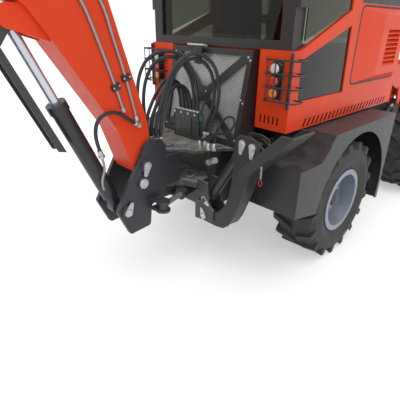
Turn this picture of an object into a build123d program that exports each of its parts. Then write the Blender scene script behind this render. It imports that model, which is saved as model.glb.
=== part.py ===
"""Articulated backhoe loader with its bucket arm at the back, as an assembly of separate pieces.

Millimetres. X points forward, Y to the machine's left and Z up, with z = 0 on the ground.
Places along X are measured from the rear axle, and `rear_axle_x` shifts them all into the frame.
"""

from build123d import *
from math import cos, hypot, radians, sin, sqrt, tan
import os

os.makedirs("parts", exist_ok=True)

# Machine as a whole
rear_axle_x = -153
wheelbase = 2250
pivot_x = 1200
pivot_pin_radius = 38
fit_gap = 0.3
run_gap = 2
overrun = 20
plate = 20
thin_plate = 12
sheet = 6

# Wheels
tyre_radius = 537.5
tyre_width = 410
tyre_centre_y = 763
tyre_section_shares = (
    (-0.40, 0.0), (-0.40, 0.15), (-0.5, 0.48), (-0.46, 0.76), (-0.38, 0.86),
    (0.38, 0.86), (0.46, 0.76), (0.5, 0.48), (0.40, 0.15), (0.40, 0.0),
)
lug_count = 17
lug_width = 66
lug_inner_share = 0.04
lug_outer_share = 0.475
lug_slant_share = 0.5
lug_root_share = 0.72
lug_taper = 5
rim_seat_radius = 254
rim_flange_radius = 290
rim_half_width = 178
rim_section_shares = (
    (-1.0, 1.0), (-0.94, 1.0), (-0.94, 0.874), (0.94, 0.874), (0.94, 1.0), (1.0, 1.0), (1.0, 0.84),
    (0.22, 0.8), (0.12, 0.5), (0.0, 0.42), (0.0, 0.3), (0.4, 0.27), (0.4, 0.0), (0.15, 0.0),
    (0.15, 0.209), (-0.3, 0.209), (-0.3, 0.4), (-0.08, 0.46), (0.08, 0.8), (-1.0, 0.84),
)
bore_share = 0.209
bore_end_share = 0.15
hub_back_share = 0.3

# Axles
axle_z = tyre_radius
axle_radius = 85
axle_flange_radius = 118
axle_flange_width = 26
gear_case_radius = 190
gear_case_half = 95
gear_case_chamfer = 40
drive_motor_length = 330
drive_motor_radius = 105

# Rear frame
rail_outer_y = 256
frame_rear_x = -960
frame_front_x = 1130
frame_top_z = 1000
frame_bottom_z = 560
axle_seat_z = axle_z + axle_radius + 15
seat_front_x = 300
seat_slope = 110
cross_wall_places_shares = (0.02, 0.22, 0.66)
cross_wall_height = 195
belly_front_share = 0.95
belly_rear_share = 0.66
fork_root_x = 1000
fork_root_half = 205
fork_nose_radius = 95
fork_plate = 25
fork_levels = (640, 900)
mount_radius = 48
mount_x_places = (-620, 1012)
mount_y = 300

# Fenders over the rear wheels
fender_inner_y = 500
fender_outer_y = 1000
fender_rear_x = -905
fender_front_x = 693
fender_top_z = 1238
fender_box_top_z = 1056
fender_box_bottom_z = 696
fender_apron_z = 370
fender_rise_x = -457
fender_box_front_x = -620
fender_rise_mid_x = -540
fender_rise_mid_z = 1126
arch_x = 30
arch_z = 550
arch_radius = 620
carrier_radius = 32
carrier_z = 940
carrier_x_places = (-660, 640)
step_front_x = 960
step_rear_x = 700
step_outer_y = 930
step_inner_y = 640
step_z_places = (420, 700, 980)
step_hanger = 40

# Cab
cab_side_y = 755
cab_wall = 30
cab_rear_x = -769
cab_front_x = 1100
skirt_front_x = 1140
skirt_z = 1255
skirt_rise = 150
pod_inner_y = 475
pod_depth = 84
pod_top_z = 1811
belt_front_z = 2072
post_rear_x = -40
post_front_x = 110
roof_line_z = 2700
dash_z = 1520
cover_top_z = 2130
quarter_window_shares = ((0.115, 0.26), (0.826, 0.26), (0.80, 0.875), (0.095, 0.60))
cover_front_x = 1062
cover_bottom_z = 1516
cover_upper_z = 2112
cover_corner = 62
cover_gap = 6
cover_bulge = 46
cover_edge = 22
cover_bulge_rear_share = 0.40
louvre_rear_x = 630
louvre_front_x = 905
louvre_bottom_z = 1640
louvre_top_z = 1940
louvre_count = 8
louvre_depth = 34
louvre_thickness = 5
louvre_drop = 16
skirt_slot_count = 24
skirt_slot_length = 46
skirt_slot_width = 16
skirt_slot_z = 1297
skirt_slot_first_x = -550
skirt_slot_last_x = 950
skirt_slot_lean = 25
pod_slot_count = 5
pod_slot_height = 60
pod_slot_width = 14
pod_slot_pitch = 38
pod_slot_z = 1330

# Cab frame, glass, roof and door
pillar_width = 120
pillar_depth = 100
rear_pillar_x = -760
front_pillar_x = 1010
rail_depth = 60
glass = 8
glass_gap = 3
glass_inset = 20
roof_overhang_rear = 110
roof_overhang_front = 90
roof_overhang_side = 20
roof_edge = 46
roof_crown = 60
roof_corner = 130
roof_crown_inset = 90
door_rear_x = 116
door_front_x = 1004
door_bottom_z = 1292
door_frame = 62
door_thickness = 24
door_corner = 70
door_mid_z = 1700
hinge_radius = 16
hinge_height = 90
hinge_stand = 12
hinge_level_shares = (0.14, 0.82)
handle_radius = 12
handle_length = 190

# Cab inside
floor_thickness = 20
hump_inner_y = -90
hump_rear_x = 130
hump_top_z = 1800
hump_wall = 15
engine_rear_x = 160
engine_front_x = 950
engine_outer_y = -488
engine_inner_y = -130
engine_bottom_z = 1020
engine_top_z = 1740
engine_chamfer = 60
seat_x = -250
seat_y = 190
seat_width = 480
seat_depth = 470
seat_cushion_z = 1640
seat_cushion_height = 120
seat_back_height = 560
seat_back_thickness = 110
seat_round = 45
seat_base_radius = 120
console_x_depth = 170
console_height = 420
console_width = 190
lever_radius = 9
lever_height = 210
knob_radius = 22
column_radius = 38
column_top_z = 2010
wheel_ring_radius = 185
wheel_ring_section = 15
column_x = 560
column_y = 330
column_lean = 150

# Rear guard between the pods
guard_half = 430
guard_top_x = -790
guard_top_z = 1800
guard_bottom_x = -930
guard_bottom_z = 1108
guard_bar = 42
guard_thickness = 26
brace_width = 58
brace_thickness = 9
mesh_thickness = 5
guard_boss_radius = 62
cheek_thickness = 10

# Lamps and their wire guards
lamp_y = 646
lamp_radius = 37
lamp_length = 42
lamp_z_places = (1533, 1615, 1697)
lamp_plate_width = 92
lamp_plate_thickness = 8
wire_radius = 6
guard_wire_x = -832
guard_wire_inner_y = 560
guard_wire_outer_y = 832
guard_wire_low_z = 1482
guard_wire_high_z = 1755
guard_wire_rows = 4
guard_wire_columns = 4
guard_wire_bend = 34
work_lamp_width = 150
work_lamp_height = 95
work_lamp_depth = 80
work_lamp_y = 520

# Backhoe frame at the back
deck_top_z = 1100
deck_thickness = 20
deck_front_x = -800
deck_front_half = 440
deck_mid_x = -900
deck_rear_x = -1070
deck_rear_half = 300
nose_root_x = -1196
nose_root_half = 268
nose_hollow_x = -1232
nose_hollow_half = 158
king_x = -1260
nose_radius = 127
nose_join_half = 100
lower_plate_z = 800
lower_plate_thickness = 45
side_plate_rear_x = -1040
side_plate_bottom_z = 520
king_pin_radius = 34
keeper_radius = 52
keeper_thickness = 12
trunnion_x = -1090
trunnion_y = 120
trunnion_radius = 24
swing_z = 735

# Valve bank
valve_x = -1000
valve_left_y = 206
valve_right_y = -95
valve_bottom_z = deck_top_z
valve_top_z = 1322
valve_block_depth = 56
valve_block_height = 150
valve_flange = 16
valve_slot = 26
spool_count = 6
spool_radius = 13
spool_length = 34
port_block_left_y = -110
port_block_right_y = -214
port_block_rear_x = -1006
port_block_height = 40

# Hoses between the valve bank and the swing post
hose_diameter = 26
hose_side = 100
hose_rise = 590
hose_row_x = -1390
hose_row_step = 40
hose_loop_y = 92
hose_middle_y = 31
hose_port_x = -985
hose_port_y = -150
hose_port_step = 38
bulkhead_front_x = -1368
bulkhead_rear_x = -1452
bulkhead_bottom_z = 1140
bulkhead_thickness = 22
hose_corner_share = 0.45
# columns: share of the way in plan, sideways share of hose_side, share of hose_rise
left_loop_shares = (
    (0.0, 0.0, 0.25), (0.05, 0.45, 0.51), (0.177, 0.80, 0.745), (0.358, 0.89, 0.925), (0.59, 0.51, 1.0),
    (0.811, 0.39, 0.925), (0.955, 0.12, 0.72), (1.0, 0.0, 0.46),
)
bundle_shares = ((0.0, 0.0, 0.237), (0.21, 0.0, 0.458), (0.51, 0.0, 0.652), (0.81, 0.0, 0.628), (1.0, 0.0, 0.445))
right_loop_shares = (
    (0.0, 0.0, 0.23), (0.094, -0.02, 0.463), (0.222, 0.03, 0.695), (0.358, -0.06, 0.881), (0.553, -0.26, 0.988),
    (0.753, -0.44, 0.986), (0.943, -0.65, 0.871), (1.027, -0.74, 0.69), (1.047, -0.73, 0.471), (1.032, -0.42, 0.268),
    (1.0, 0.0, 0.107),
)

# Swing post and its cylinders
post_inner_y = 122
post_plate = 30
swing_post_rear_x = -1841
post_length = 450
post_bottom_z = 547
post_height = 674
post_outline_shares = (
    (0.65, 1.0), (0.925, 0.99), (1.0, 0.883), (0.945, 0.389), (0.66, 0.257), (0.627, 0.025),
    (0.213, 0.0), (0.0, 0.313), (0.376, 0.721), (0.569, 0.942),
)
post_corner = 26
hub_radius = 105
hub_clearance = 6
boom_foot_x = -1577
boom_foot_z = 1046
boom_pin_radius = 30
cylinder_foot_x = -1760
cylinder_foot_z = 742
boss_radius = 46
boss_height = 14
round_boss_x = -1613
round_boss_z = 923
swing_eye_x = -1500
swing_eye_y = 235
swing_ear = 54
swing_ear_plate = 16
swing_ear_root_x = -1450

# Boom
boom_tip_x = -3130
boom_tip_z = 2700
boom_half = 113
boom_nose_half = 52
boom_nose_share = 0.83
boom_outline_shares = (
    (-0.050, -0.022), (-0.037, 0.183), (0.115, 0.629), (0.205, 0.77), (0.47, 0.875), (0.985, 1.047),
    (1.055, 1.0), (1.02, 0.94), (0.56, 0.70), (0.42, 0.60), (0.365, 0.527), (0.119, 0.169),
    (0.050, -0.022), (0.0, -0.05),
)
boom_outline_rounds = (30, 90, 160, 90, 160, 30, 30, 40, 160, 60, 60, 160, 30, 30)
boom_lug_x = -2304
boom_lug_z = 1991
boom_lug_radius = 62
boom_lug_root_share = 0.30
dipper_cylinder_x = -2040
dipper_cylinder_z = 2500
ear_plate = 20
lock_bar_offset = 118
lock_bar_width = 96
lock_bar_height = 34
lock_bar_plate = 8
lock_bar_low_share = 0.43
lock_bar_high_share = 0.95

# Dipper, bucket and links
dipper_half = 75
dipper_head_gap = 4
dipper_head_plate = 22
tooth_pin_x = -3345
tooth_pin_z = 1478
dipper_outline_shares = (
    (0.10, 0.86), (0.12, 1.03), (0.00, 1.10), (-0.09, 1.06), (-0.10, 0.92), (-0.085, 0.72), (-0.043, 0.06),
    (-0.035, -0.04), (0.04, -0.04), (0.05, 0.06), (0.085, 0.60),
)
horn_length = 210
horn_angle = 121
link_length = 215
link_height = 250
link_angle = -152
link_plate = 18
link_pin_radius = 22
link_round = 42
bucket_cylinder_share = 0.86
bucket_cylinder_stand = 222
dig_width = 520
dig_depth = 560
dig_wall = 14
dig_section_shares = (
    (0.30, 0.17), (-0.26, 0.17), (-0.56, 0.42), (-0.56, 0.86), (-0.22, 1.06), (0.34, 1.0),
)
dig_rounds = (0, 60, 110, 110, 110, 0)
dig_ear_shares = ((-0.48, -0.09), (0.12, -0.09), (0.12, 0.20), (-0.48, 0.36))
dig_ear_round = 40
tooth_count = 4
tooth_root_share = 0.12
tooth_length = 130
tooth_width = 58
tooth_height = 34

# Stabilizers
stab_x = -1090
leg_pivot_y = 333
leg_pivot_z = 571
leg_plate = 14
leg_gap = 96
leg_foot_y = 759
leg_foot_z = 1230
leg_rod_y = 672
leg_rod_z = 1237
leg_outline_shares = (
    (-0.12, -0.07), (0.45, -0.05), (0.78, 0.42), (0.88, 0.68), (1.13, 0.88), (1.33, 1.02), (0.68, 1.07),
    (0.44, 0.62), (0.16, 0.24), (-0.14, 0.06),
)
leg_rounds = (30, 60, 160, 160, 160, 20, 20, 160, 160, 30)
leg_web_shares = ((0.40, -0.05), (0.45, -0.05), (0.78, 0.42), (0.88, 0.68), (0.84, 0.69), (0.74, 0.43))
bracket_plate = 14
bracket_outline_shares = ((0.0, 0.0), (0.98, 0.09), (1.0, 0.34), (0.72, 0.50), (0.62, 1.0), (0.0, 1.0))
bracket_notch = 40
bracket_width = 178
bracket_height = 343
stab_cylinder_y = 337
stab_cylinder_z = 710
foot_length = 520
foot_width = 250
foot_plate = 14
foot_flange = 52
foot_drop = 124
foot_start_share = 0.36
foot_angle = 44.7
foot_ear_radius = 44
stab_pin_radius = 20

# Hydraulic cylinders: barrel radius, rod radius, eye radius, eye width, pin radius
boom_cylinder = (56, 30, 52, 84, 28)
dipper_cylinder = (46, 25, 46, 70, 25)
bucket_cylinder = (42, 23, 40, 60, 22)
swing_cylinder = (40, 22, 38, 50, 20)
stab_cylinder = (40, 23, 38, 56, 20)
lift_cylinder = (40, 22, 42, 56, 22)
tilt_cylinder = (34, 19, 36, 50, 20)
steer_cylinder = (30, 16, 32, 40, 16)
boom_barrel_share = 0.632
dipper_barrel_share = 0.66
bucket_barrel_share = 0.62
stab_barrel_share = 0.80
lift_barrel_share = 0.86
tilt_barrel_share = 0.74
steer_barrel_share = 0.66
swing_barrel_front = 220
swing_barrel_share = 0.45
bore_gap = 0.6
gland_swell = 1.14
neck_share = 1.9
rod_start_share = 0.30
long_stroke_start_share = 0.42

# Tie-down holes in the side plates at the back and in the rails at the front
tie_radius = 22
tie_lug_half = 38
tie_lug_plate = 20
rear_tie_x = -1000
rear_tie_y = 198
front_tie_x = 2640
front_tie_y = 263

# Front frame, loader arms and bucket
front_rail_y = 225
front_rear_x = 1345
front_nose_x = 2690
tongue_root_x = 1500
front_top_z = 1000
front_bottom_z = 540
hood_half = 320
hood_rear_x = 1470
hood_front_x = 2560
hood_top_z = 1330
hood_drop = 110
hood_round = 60
tower_y = 372
tower_plate = 30
arm_pivot_x = 1720
arm_pivot_z = 1480
tower_rounds = (0, 0, 60, 60, 60, 60, 60)
tower_outline_shares = ((0.0, 0.0), (1.0, 0.0), (0.96, 0.30), (0.52, 0.92), (0.36, 1.12), (0.17, 1.12), (0.07, 0.85))
tower_rear_x = 1560
tower_length = 620
tower_bottom_z = 880
arm_inner_y = 420
arm_thickness = 76
arm_pin_radius = 32
bucket_pin_x = 3150
bucket_pin_z = 330
arm_outline_shares = (
    (-0.05, 1.07), (0.30, 1.06), (0.72, 0.86), (1.06, 0.08), (1.055, -0.05), (0.97, -0.05), (0.62, 0.50),
    (0.34, 0.77), (-0.045, 0.93),
)
arm_outline_rounds = (60, 160, 220, 60, 60, 60, 220, 160, 60)
arm_tube_radius = 60
arm_tube_x = 2800
arm_tube_z = 730
lift_base_x = 1480
lift_base_z = 570
lift_eye_x = 2200
lift_eye_z = 1080
lift_ear_rise = 190
lift_shaft_radius = 40
lift_rod_share = 0.12
tilt_y = 360
tilt_base_x = 2180
tilt_base_z = 1540
tilt_eye_x = 3170
tilt_eye_z = 560
scoop_half = 1025
scoop_wall = 14
scoop_section_shares = (
    (0.27, 1.0), (0.05, 0.66), (0.0, 0.36), (0.07, 0.08), (0.24, 0.0), (1.0, 0.0),
)
scoop_rear_x = 3290
scoop_length = 570
scoop_bottom_z = 62
scoop_height = 780
scoop_ear_shares = ((-0.35, -0.15), (0.2, -0.3), (1.3, -0.7), (1.3, 1.15), (0.0, 1.2), (-0.35, 0.3))
scoop_ear_rounds = (30, 30, 0, 0, 60, 30)
scoop_rounds = (0, 180, 180, 110, 110, 0)
edge_depth = 150
edge_thickness = 26
scoop_ear = 16
scoop_ear_gap = 6

# Steering cylinder
steer_base_x = 760
steer_base_y = 120
steer_eye_x = 1425
steer_eye_y = 120
steer_z = 790
steer_window = 60


def shift(points):
    """Side or plan points measured from the rear axle, in the frame's own X."""
    return [(rear_axle_x + x, other) for x, other in points]


def spread(shares, start, length, base, height):
    """Outline points from shares of a length and a height."""
    return [(start + s * length, base + t * height) for s, t in shares]


def rectangle(low_a, high_a, low_b, high_b):
    """Four corners of a rectangle."""
    return [(low_a, low_b), (high_a, low_b), (high_a, high_b), (low_a, high_b)]


def mirrored_spans(inner, outer):
    """The right and the left Y span of a piece that stands on both sides."""
    return ((-outer, -inner), (inner, outer))


def side_solid(points, y_low, y_high, rounds=0, mode=Mode.ADD):
    """Side outline in X and Z with thickness from y_low to y_high."""
    with BuildSketch(Plane.XZ.offset(-y_high)) as outline:
        with BuildLine():
            FilletPolyline(*shift(points), radius=rounds, close=True)
        make_face()
    return extrude(outline.sketch, amount=y_high - y_low, mode=mode)


def plan_solid(points, z_low, z_high, rounds=0, mode=Mode.ADD):
    """Plan outline in X and Y with thickness from z_low to z_high."""
    with BuildSketch(Plane.XY.offset(z_low)) as outline:
        with BuildLine():
            FilletPolyline(*shift(points), radius=rounds, close=True)
        make_face()
    return extrude(outline.sketch, amount=z_high - z_low, mode=mode)


def cross_solid(points, x_low, x_high, rounds=0, mode=Mode.ADD):
    """Outline in Y and Z with thickness from x_low to x_high."""
    with BuildSketch(Plane.YZ.offset(rear_axle_x + x_low)) as outline:
        with BuildLine():
            FilletPolyline(*points, radius=rounds, close=True)
        make_face()
    return extrude(outline.sketch, amount=x_high - x_low, mode=mode)


def block(x_low, x_high, y_low, y_high, z_low, z_high, mode=Mode.ADD):
    """Rectangular block between three pairs of places."""
    return plan_solid(rectangle(x_low, x_high, y_low, y_high), z_low, z_high, mode=mode)


def rod_solid(start, end, radius, mode=Mode.ADD):
    """Round bar between two places given as x, y, z."""
    foot = Vector(rear_axle_x + start[0], start[1], start[2])
    run = Vector(rear_axle_x + end[0], end[1], end[2]) - foot
    with BuildSketch(Plane(origin=foot, z_dir=run)) as section:
        Circle(radius)
    return extrude(section.sketch, amount=run.length, mode=mode)


def pin_solid(x, z, radius, y_low, y_high, mode=Mode.ADD):
    """Round pin, boss or bore along Y."""
    return rod_solid((x, y_low, z), (x, y_high, z), radius, mode=mode)


def upright_solid(x, y, radius, z_low, z_high, mode=Mode.ADD):
    """Round pin, boss or bore along Z."""
    return rod_solid((x, y, z_low), (x, y, z_high), radius, mode=mode)


def long_pin(x_low, x_high, y, z, radius, mode=Mode.ADD):
    """Round pin, boss or bore along X."""
    return rod_solid((x_low, y, z), (x_high, y, z), radius, mode=mode)


def link_solid(start, end, round_radius, y_low, y_high):
    """Flat link with round ends between two side places."""
    way = Vector(end[0] - start[0], end[1] - start[1]).normalized() * round_radius
    side_solid(
        [
            (start[0] - way.Y, start[1] + way.X), (end[0] - way.Y, end[1] + way.X),
            (end[0] + way.Y, end[1] - way.X), (start[0] + way.Y, start[1] - way.X),
        ],
        y_low, y_high,
    )
    for x, z in (start, end):
        pin_solid(x, z, round_radius, y_low, y_high)


def between(start, end, share):
    """Place at a share of the way from start to end."""
    return tuple(a + share * (b - a) for a, b in zip(start, end))


def barrel_solid(base, eye, across, sizes, gland_share, rear_reach=0):
    """Barrel of a cylinder: base eye, tube and gland, bored for its rod."""
    barrel_radius, rod_radius, eye_radius, eye_width, pin_radius = sizes
    length = sqrt(sum((b - a) ** 2 for a, b in zip(base, eye)))
    half = tuple(axis * eye_width / 2 for axis in across)
    low = tuple(a - h for a, h in zip(base, half))
    high = tuple(a + h for a, h in zip(base, half))
    gland = between(base, eye, gland_share)
    collar = between(base, eye, gland_share - barrel_radius / length)
    neck_end = neck_share * eye_radius
    tube_start = -rear_reach if rear_reach else neck_end
    wall = between(base, eye, (tube_start + rod_radius) / length)
    back = between(base, eye, tube_start / length)
    if not rear_reach:
        rod_solid(low, high, eye_radius)
        rod_solid(base, back, min(eye_width / 2, barrel_radius))
    rod_solid(back, gland, barrel_radius)
    rod_solid(collar, gland, barrel_radius * gland_swell)
    rod_solid(wall, between(base, eye, gland_share + overrun / length), rod_radius + bore_gap, Mode.SUBTRACT)
    if not rear_reach:
        rod_solid(low, high, pin_radius + fit_gap, Mode.SUBTRACT)


def piston_rod(base, eye, across, sizes, start_share):
    """Rod of a cylinder with the eye at its end."""
    barrel_radius, rod_radius, eye_radius, eye_width, pin_radius = sizes
    half = tuple(axis * eye_width / 2 for axis in across)
    rod_solid(between(base, eye, start_share), eye, rod_radius)
    rod_solid(
        tuple(a - h for a, h in zip(eye, half)),
        tuple(a + h for a, h in zip(eye, half)),
        eye_radius,
    )


def finish(piece, name):
    """Label a finished piece and write it."""
    piece.label = name
    export_step(piece, f"parts/{name}.step")


along_y = (0, 1, 0)
along_z = (0, 0, 1)
along_x = (1, 0, 0)

# Tyres: carcass turned about its axle, with slanted bars that run over the shoulder
tyre_height = tyre_radius - rim_seat_radius
lug_reach = (lug_outer_share - lug_inner_share) * tyre_width
lug_slant = lug_slant_share * lug_reach
lug_side_inset = (1 - lug_root_share) * tyre_height * tan(radians(lug_taper)) * 2
lug_top_radius = sqrt(tyre_radius**2 - ((lug_width + lug_slant) / 2 - lug_side_inset) ** 2)
wheel_turn = Axis((0, 0, 0), (0, 1, 0))

with BuildPart() as lug:
    with BuildSketch(Plane.XY.offset(rim_seat_radius + lug_root_share * tyre_height)):
        with BuildLine():
            Polyline(
                (-(lug_width + lug_slant) / 2, lug_inner_share * tyre_width),
                ((lug_width - lug_slant) / 2, lug_inner_share * tyre_width),
                ((lug_width + lug_slant) / 2, lug_outer_share * tyre_width),
                (-(lug_width - lug_slant) / 2, lug_outer_share * tyre_width),
                close=True,
            )
        make_face()
    extrude(amount=lug_top_radius - rim_seat_radius - lug_root_share * tyre_height, taper=lug_taper)

with BuildPart() as tyre:
    with BuildSketch(Plane.YZ):
        with BuildLine():
            Polyline(
                *[
                    (s * tyre_width, rim_seat_radius + fit_gap + t * tyre_height)
                    for s, t in tyre_section_shares
                ],
                close=True,
            )
        make_face()
    revolve(axis=wheel_turn)
    left_lugs = [lug.part.rotate(wheel_turn, 360 * n / lug_count) for n in range(lug_count)]
    right_lug = mirror(lug.part, about=Plane.XZ, mode=Mode.PRIVATE)
    right_lugs = [right_lug.rotate(wheel_turn, 360 * (n + 0.5) / lug_count) for n in range(lug_count)]
    add(left_lugs)
    add(right_lugs)

# Rims: dished disc with a hub nose, bored for the axle end
with BuildPart() as rim:
    with BuildSketch(Plane.YZ):
        with BuildLine():
            Polyline(
                *[(s * rim_half_width, t * rim_flange_radius) for s, t in rim_section_shares],
                close=True,
            )
        make_face()
    revolve(axis=wheel_turn)

wheel_places = {
    "rear_left": (0, 1),
    "rear_right": (0, -1),
    "front_left": (wheelbase, 1),
    "front_right": (wheelbase, -1),
}
for corner, (wheel_x, side) in wheel_places.items():
    seat = Location((rear_axle_x + wheel_x, side * tyre_centre_y, axle_z))
    with BuildPart() as corner_tyre:
        add(tyre.part.moved(seat))
    with BuildPart() as corner_rim:
        add((rim.part if side > 0 else mirror(rim.part, about=Plane.XZ, mode=Mode.PRIVATE)).moved(seat))
    finish(corner_tyre.part, f"tyre_{corner}")
    finish(corner_rim.part, f"rim_{corner}")

# Axles: tubes with a gear case, flanges and stub ends that carry the wheels
stub_radius = bore_share * rim_flange_radius - fit_gap
stub_end_y = tyre_centre_y + bore_end_share * rim_half_width - run_gap
flange_y = tyre_centre_y - hub_back_share * rim_half_width - run_gap
for axle_name, axle_x, motor_side in (("rear_axle", 0, 1), ("front_axle", wheelbase, -1)):
    with BuildPart() as axle:
        pin_solid(axle_x, axle_z, axle_radius, -flange_y, flange_y)
        pin_solid(axle_x, axle_z, stub_radius, -stub_end_y, stub_end_y)
        for y_low, y_high in mirrored_spans(flange_y - axle_flange_width, flange_y):
            pin_solid(axle_x, axle_z, axle_flange_radius, y_low, y_high)
        long_pin(axle_x, axle_x + motor_side * drive_motor_length, 0, axle_z, drive_motor_radius)
        with BuildSketch(Plane.XZ.offset(-gear_case_half)):
            with Locations((rear_axle_x + axle_x, axle_z)):
                Circle(gear_case_radius)
        extrude(amount=2 * gear_case_half)
        for y_low, y_high in mirrored_spans(rail_outer_y - 3 * plate, rail_outer_y):
            block(
                axle_x - axle_radius, axle_x + axle_radius, y_low, y_high,
                axle_z, axle_seat_z - fit_gap,
            )
    finish(axle.part, axle_name)

# Rear frame: two rails, cross walls, belly plate and the fork of the steering pivot
frame_length = frame_front_x - frame_rear_x
rail_points = [
    (frame_rear_x, frame_top_z), (frame_front_x, frame_top_z), (frame_front_x, frame_bottom_z),
    (seat_front_x + seat_slope, frame_bottom_z), (seat_front_x, axle_seat_z),
    (-seat_front_x, axle_seat_z), (-seat_front_x - seat_slope, frame_bottom_z), (frame_rear_x, frame_bottom_z),
]
with BuildPart() as rear_frame:
    for y_low, y_high in mirrored_spans(rail_outer_y - plate, rail_outer_y):
        side_solid(rail_points, y_low, y_high)
    for place in cross_wall_places_shares:
        wall_x = frame_rear_x + place * frame_length
        block(
            wall_x, wall_x + plate, -rail_outer_y + plate, rail_outer_y - plate,
            frame_top_z - cross_wall_height, frame_top_z,
        )
    block(
        frame_rear_x + belly_rear_share * frame_length, frame_rear_x + belly_front_share * frame_length,
        -rail_outer_y + plate, rail_outer_y - plate, frame_bottom_z, frame_bottom_z + thin_plate,
    )
    for level in fork_levels:
        plan_solid(
            [
                (fork_root_x, -fork_root_half), (pivot_x, -fork_nose_radius),
                (pivot_x, fork_nose_radius), (fork_root_x, fork_root_half),
            ],
            level, level + fork_plate,
        )
        upright_solid(pivot_x, 0, fork_nose_radius, level, level + fork_plate)
        upright_solid(
            pivot_x, 0, pivot_pin_radius + fit_gap, level - overrun, level + fork_plate + overrun, Mode.SUBTRACT
        )
    block(
        fork_root_x - plate, fork_root_x, -rail_outer_y + plate, rail_outer_y - plate,
        fork_levels[0], fork_levels[1] + fork_plate,
    )
    block(
        fork_root_x - plate - overrun, fork_root_x + overrun, 0, rail_outer_y - plate,
        steer_z - steer_window, steer_z + steer_window, Mode.SUBTRACT,
    )
    for mount_x in mount_x_places:
        for y_low, y_high in mirrored_spans(rail_outer_y - plate, mount_y + mount_radius):
            block(mount_x - mount_radius, mount_x + mount_radius, y_low, y_high, frame_top_z, frame_top_z + plate)
    for carrier_x in carrier_x_places:
        for y_low, y_high in mirrored_spans(rail_outer_y - fit_gap, fender_inner_y - fit_gap):
            pin_solid(carrier_x, carrier_z, carrier_radius, y_low, y_high)
    steer_ear_low = steer_cylinder[3] / 2 + run_gap
    for low, high in (
        (steer_z - steer_ear_low - plate, steer_z - steer_ear_low), (steer_z + steer_ear_low, steer_z + steer_ear_low + plate)
    ):
        block(
            steer_base_x - 2 * plate, steer_base_x + 2 * plate, steer_base_y - 2 * plate, rail_outer_y - plate,
            low, high,
        )
    upright_solid(
        steer_base_x, steer_base_y, steer_cylinder[4],
        steer_z - steer_ear_low - plate, steer_z + steer_ear_low + plate,
    )
finish(rear_frame.part, "rear_frame")

# Fenders over the rear wheels, with the box behind, and the steps of the left side
fender_points = [
    (fender_rear_x, fender_box_bottom_z), (fender_rear_x, fender_box_top_z), (fender_box_front_x, fender_box_top_z),
    (fender_rise_mid_x, fender_rise_mid_z), (fender_rise_x, fender_top_z), (fender_front_x, fender_top_z),
    (fender_front_x, fender_apron_z),
]
fender_inside = [
    (fender_rear_x + sheet, fender_box_bottom_z - overrun), (fender_rear_x + sheet, fender_box_top_z - sheet),
    (fender_box_front_x + sheet / 2, fender_box_top_z - sheet),
    (fender_rise_mid_x + sheet, fender_rise_mid_z - sheet), (fender_rise_x + sheet, fender_top_z - sheet),
    (fender_front_x - sheet, fender_top_z - sheet), (fender_front_x - sheet, fender_apron_z - overrun),
]
with BuildPart() as fenders:
    for y_low, y_high in mirrored_spans(fender_inner_y, fender_outer_y):
        outer_low = y_low + sheet if y_low < 0 else y_low - overrun
        outer_high = y_high + overrun if y_low < 0 else y_high - sheet
        side_solid(fender_points, y_low, y_high)
        side_solid(fender_inside, outer_low, outer_high, mode=Mode.SUBTRACT)
        pin_solid(arch_x, arch_z, arch_radius, y_low - overrun, y_high + overrun, Mode.SUBTRACT)
        block(
            fender_box_front_x, fender_box_front_x + sheet, y_low, y_high,
            fender_box_bottom_z, fender_box_top_z,
        )
        block(fender_rear_x, fender_box_front_x, y_low, y_high, fender_box_bottom_z, fender_box_bottom_z + sheet)
    for y_low, y_high in mirrored_spans(fender_inner_y, fender_inner_y + sheet):
        block(fender_rear_x, fender_box_front_x + sheet, y_low, y_high, fender_box_bottom_z, fender_box_top_z)
        block(
            carrier_x_places[1] - 2 * carrier_radius, fender_front_x, y_low, y_high,
            carrier_z - 2 * carrier_radius, fender_top_z,
        )
    for hanger_x in (step_rear_x, step_front_x - sheet):
        block(hanger_x, hanger_x + sheet, step_inner_y, step_inner_y + step_hanger, step_z_places[0], fender_top_z)
    block(
        fender_front_x - sheet, step_front_x, step_inner_y, step_inner_y + step_hanger,
        fender_top_z - sheet, fender_top_z,
    )
    for step_z in step_z_places:
        block(step_rear_x, step_front_x, step_inner_y, step_outer_y, step_z, step_z + sheet)
        for rim_y in (step_inner_y, step_outer_y - sheet):
            block(step_rear_x, step_front_x, rim_y, rim_y + sheet, step_z, step_z + step_hanger)
finish(fenders.part, "fenders")

# Engine as one plain block in its bay on the right
with BuildPart() as engine_block:
    block(engine_rear_x, engine_front_x, engine_outer_y, engine_inner_y, engine_bottom_z, engine_top_z)
    chamfer(engine_block.edges().filter_by(Axis.Z), engine_chamfer)
    block(
        engine_rear_x + engine_chamfer, engine_front_x - engine_chamfer, -rail_outer_y, engine_inner_y - engine_chamfer,
        frame_top_z + fit_gap, engine_bottom_z,
    )
finish(engine_block.part, "engine_block")

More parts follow.
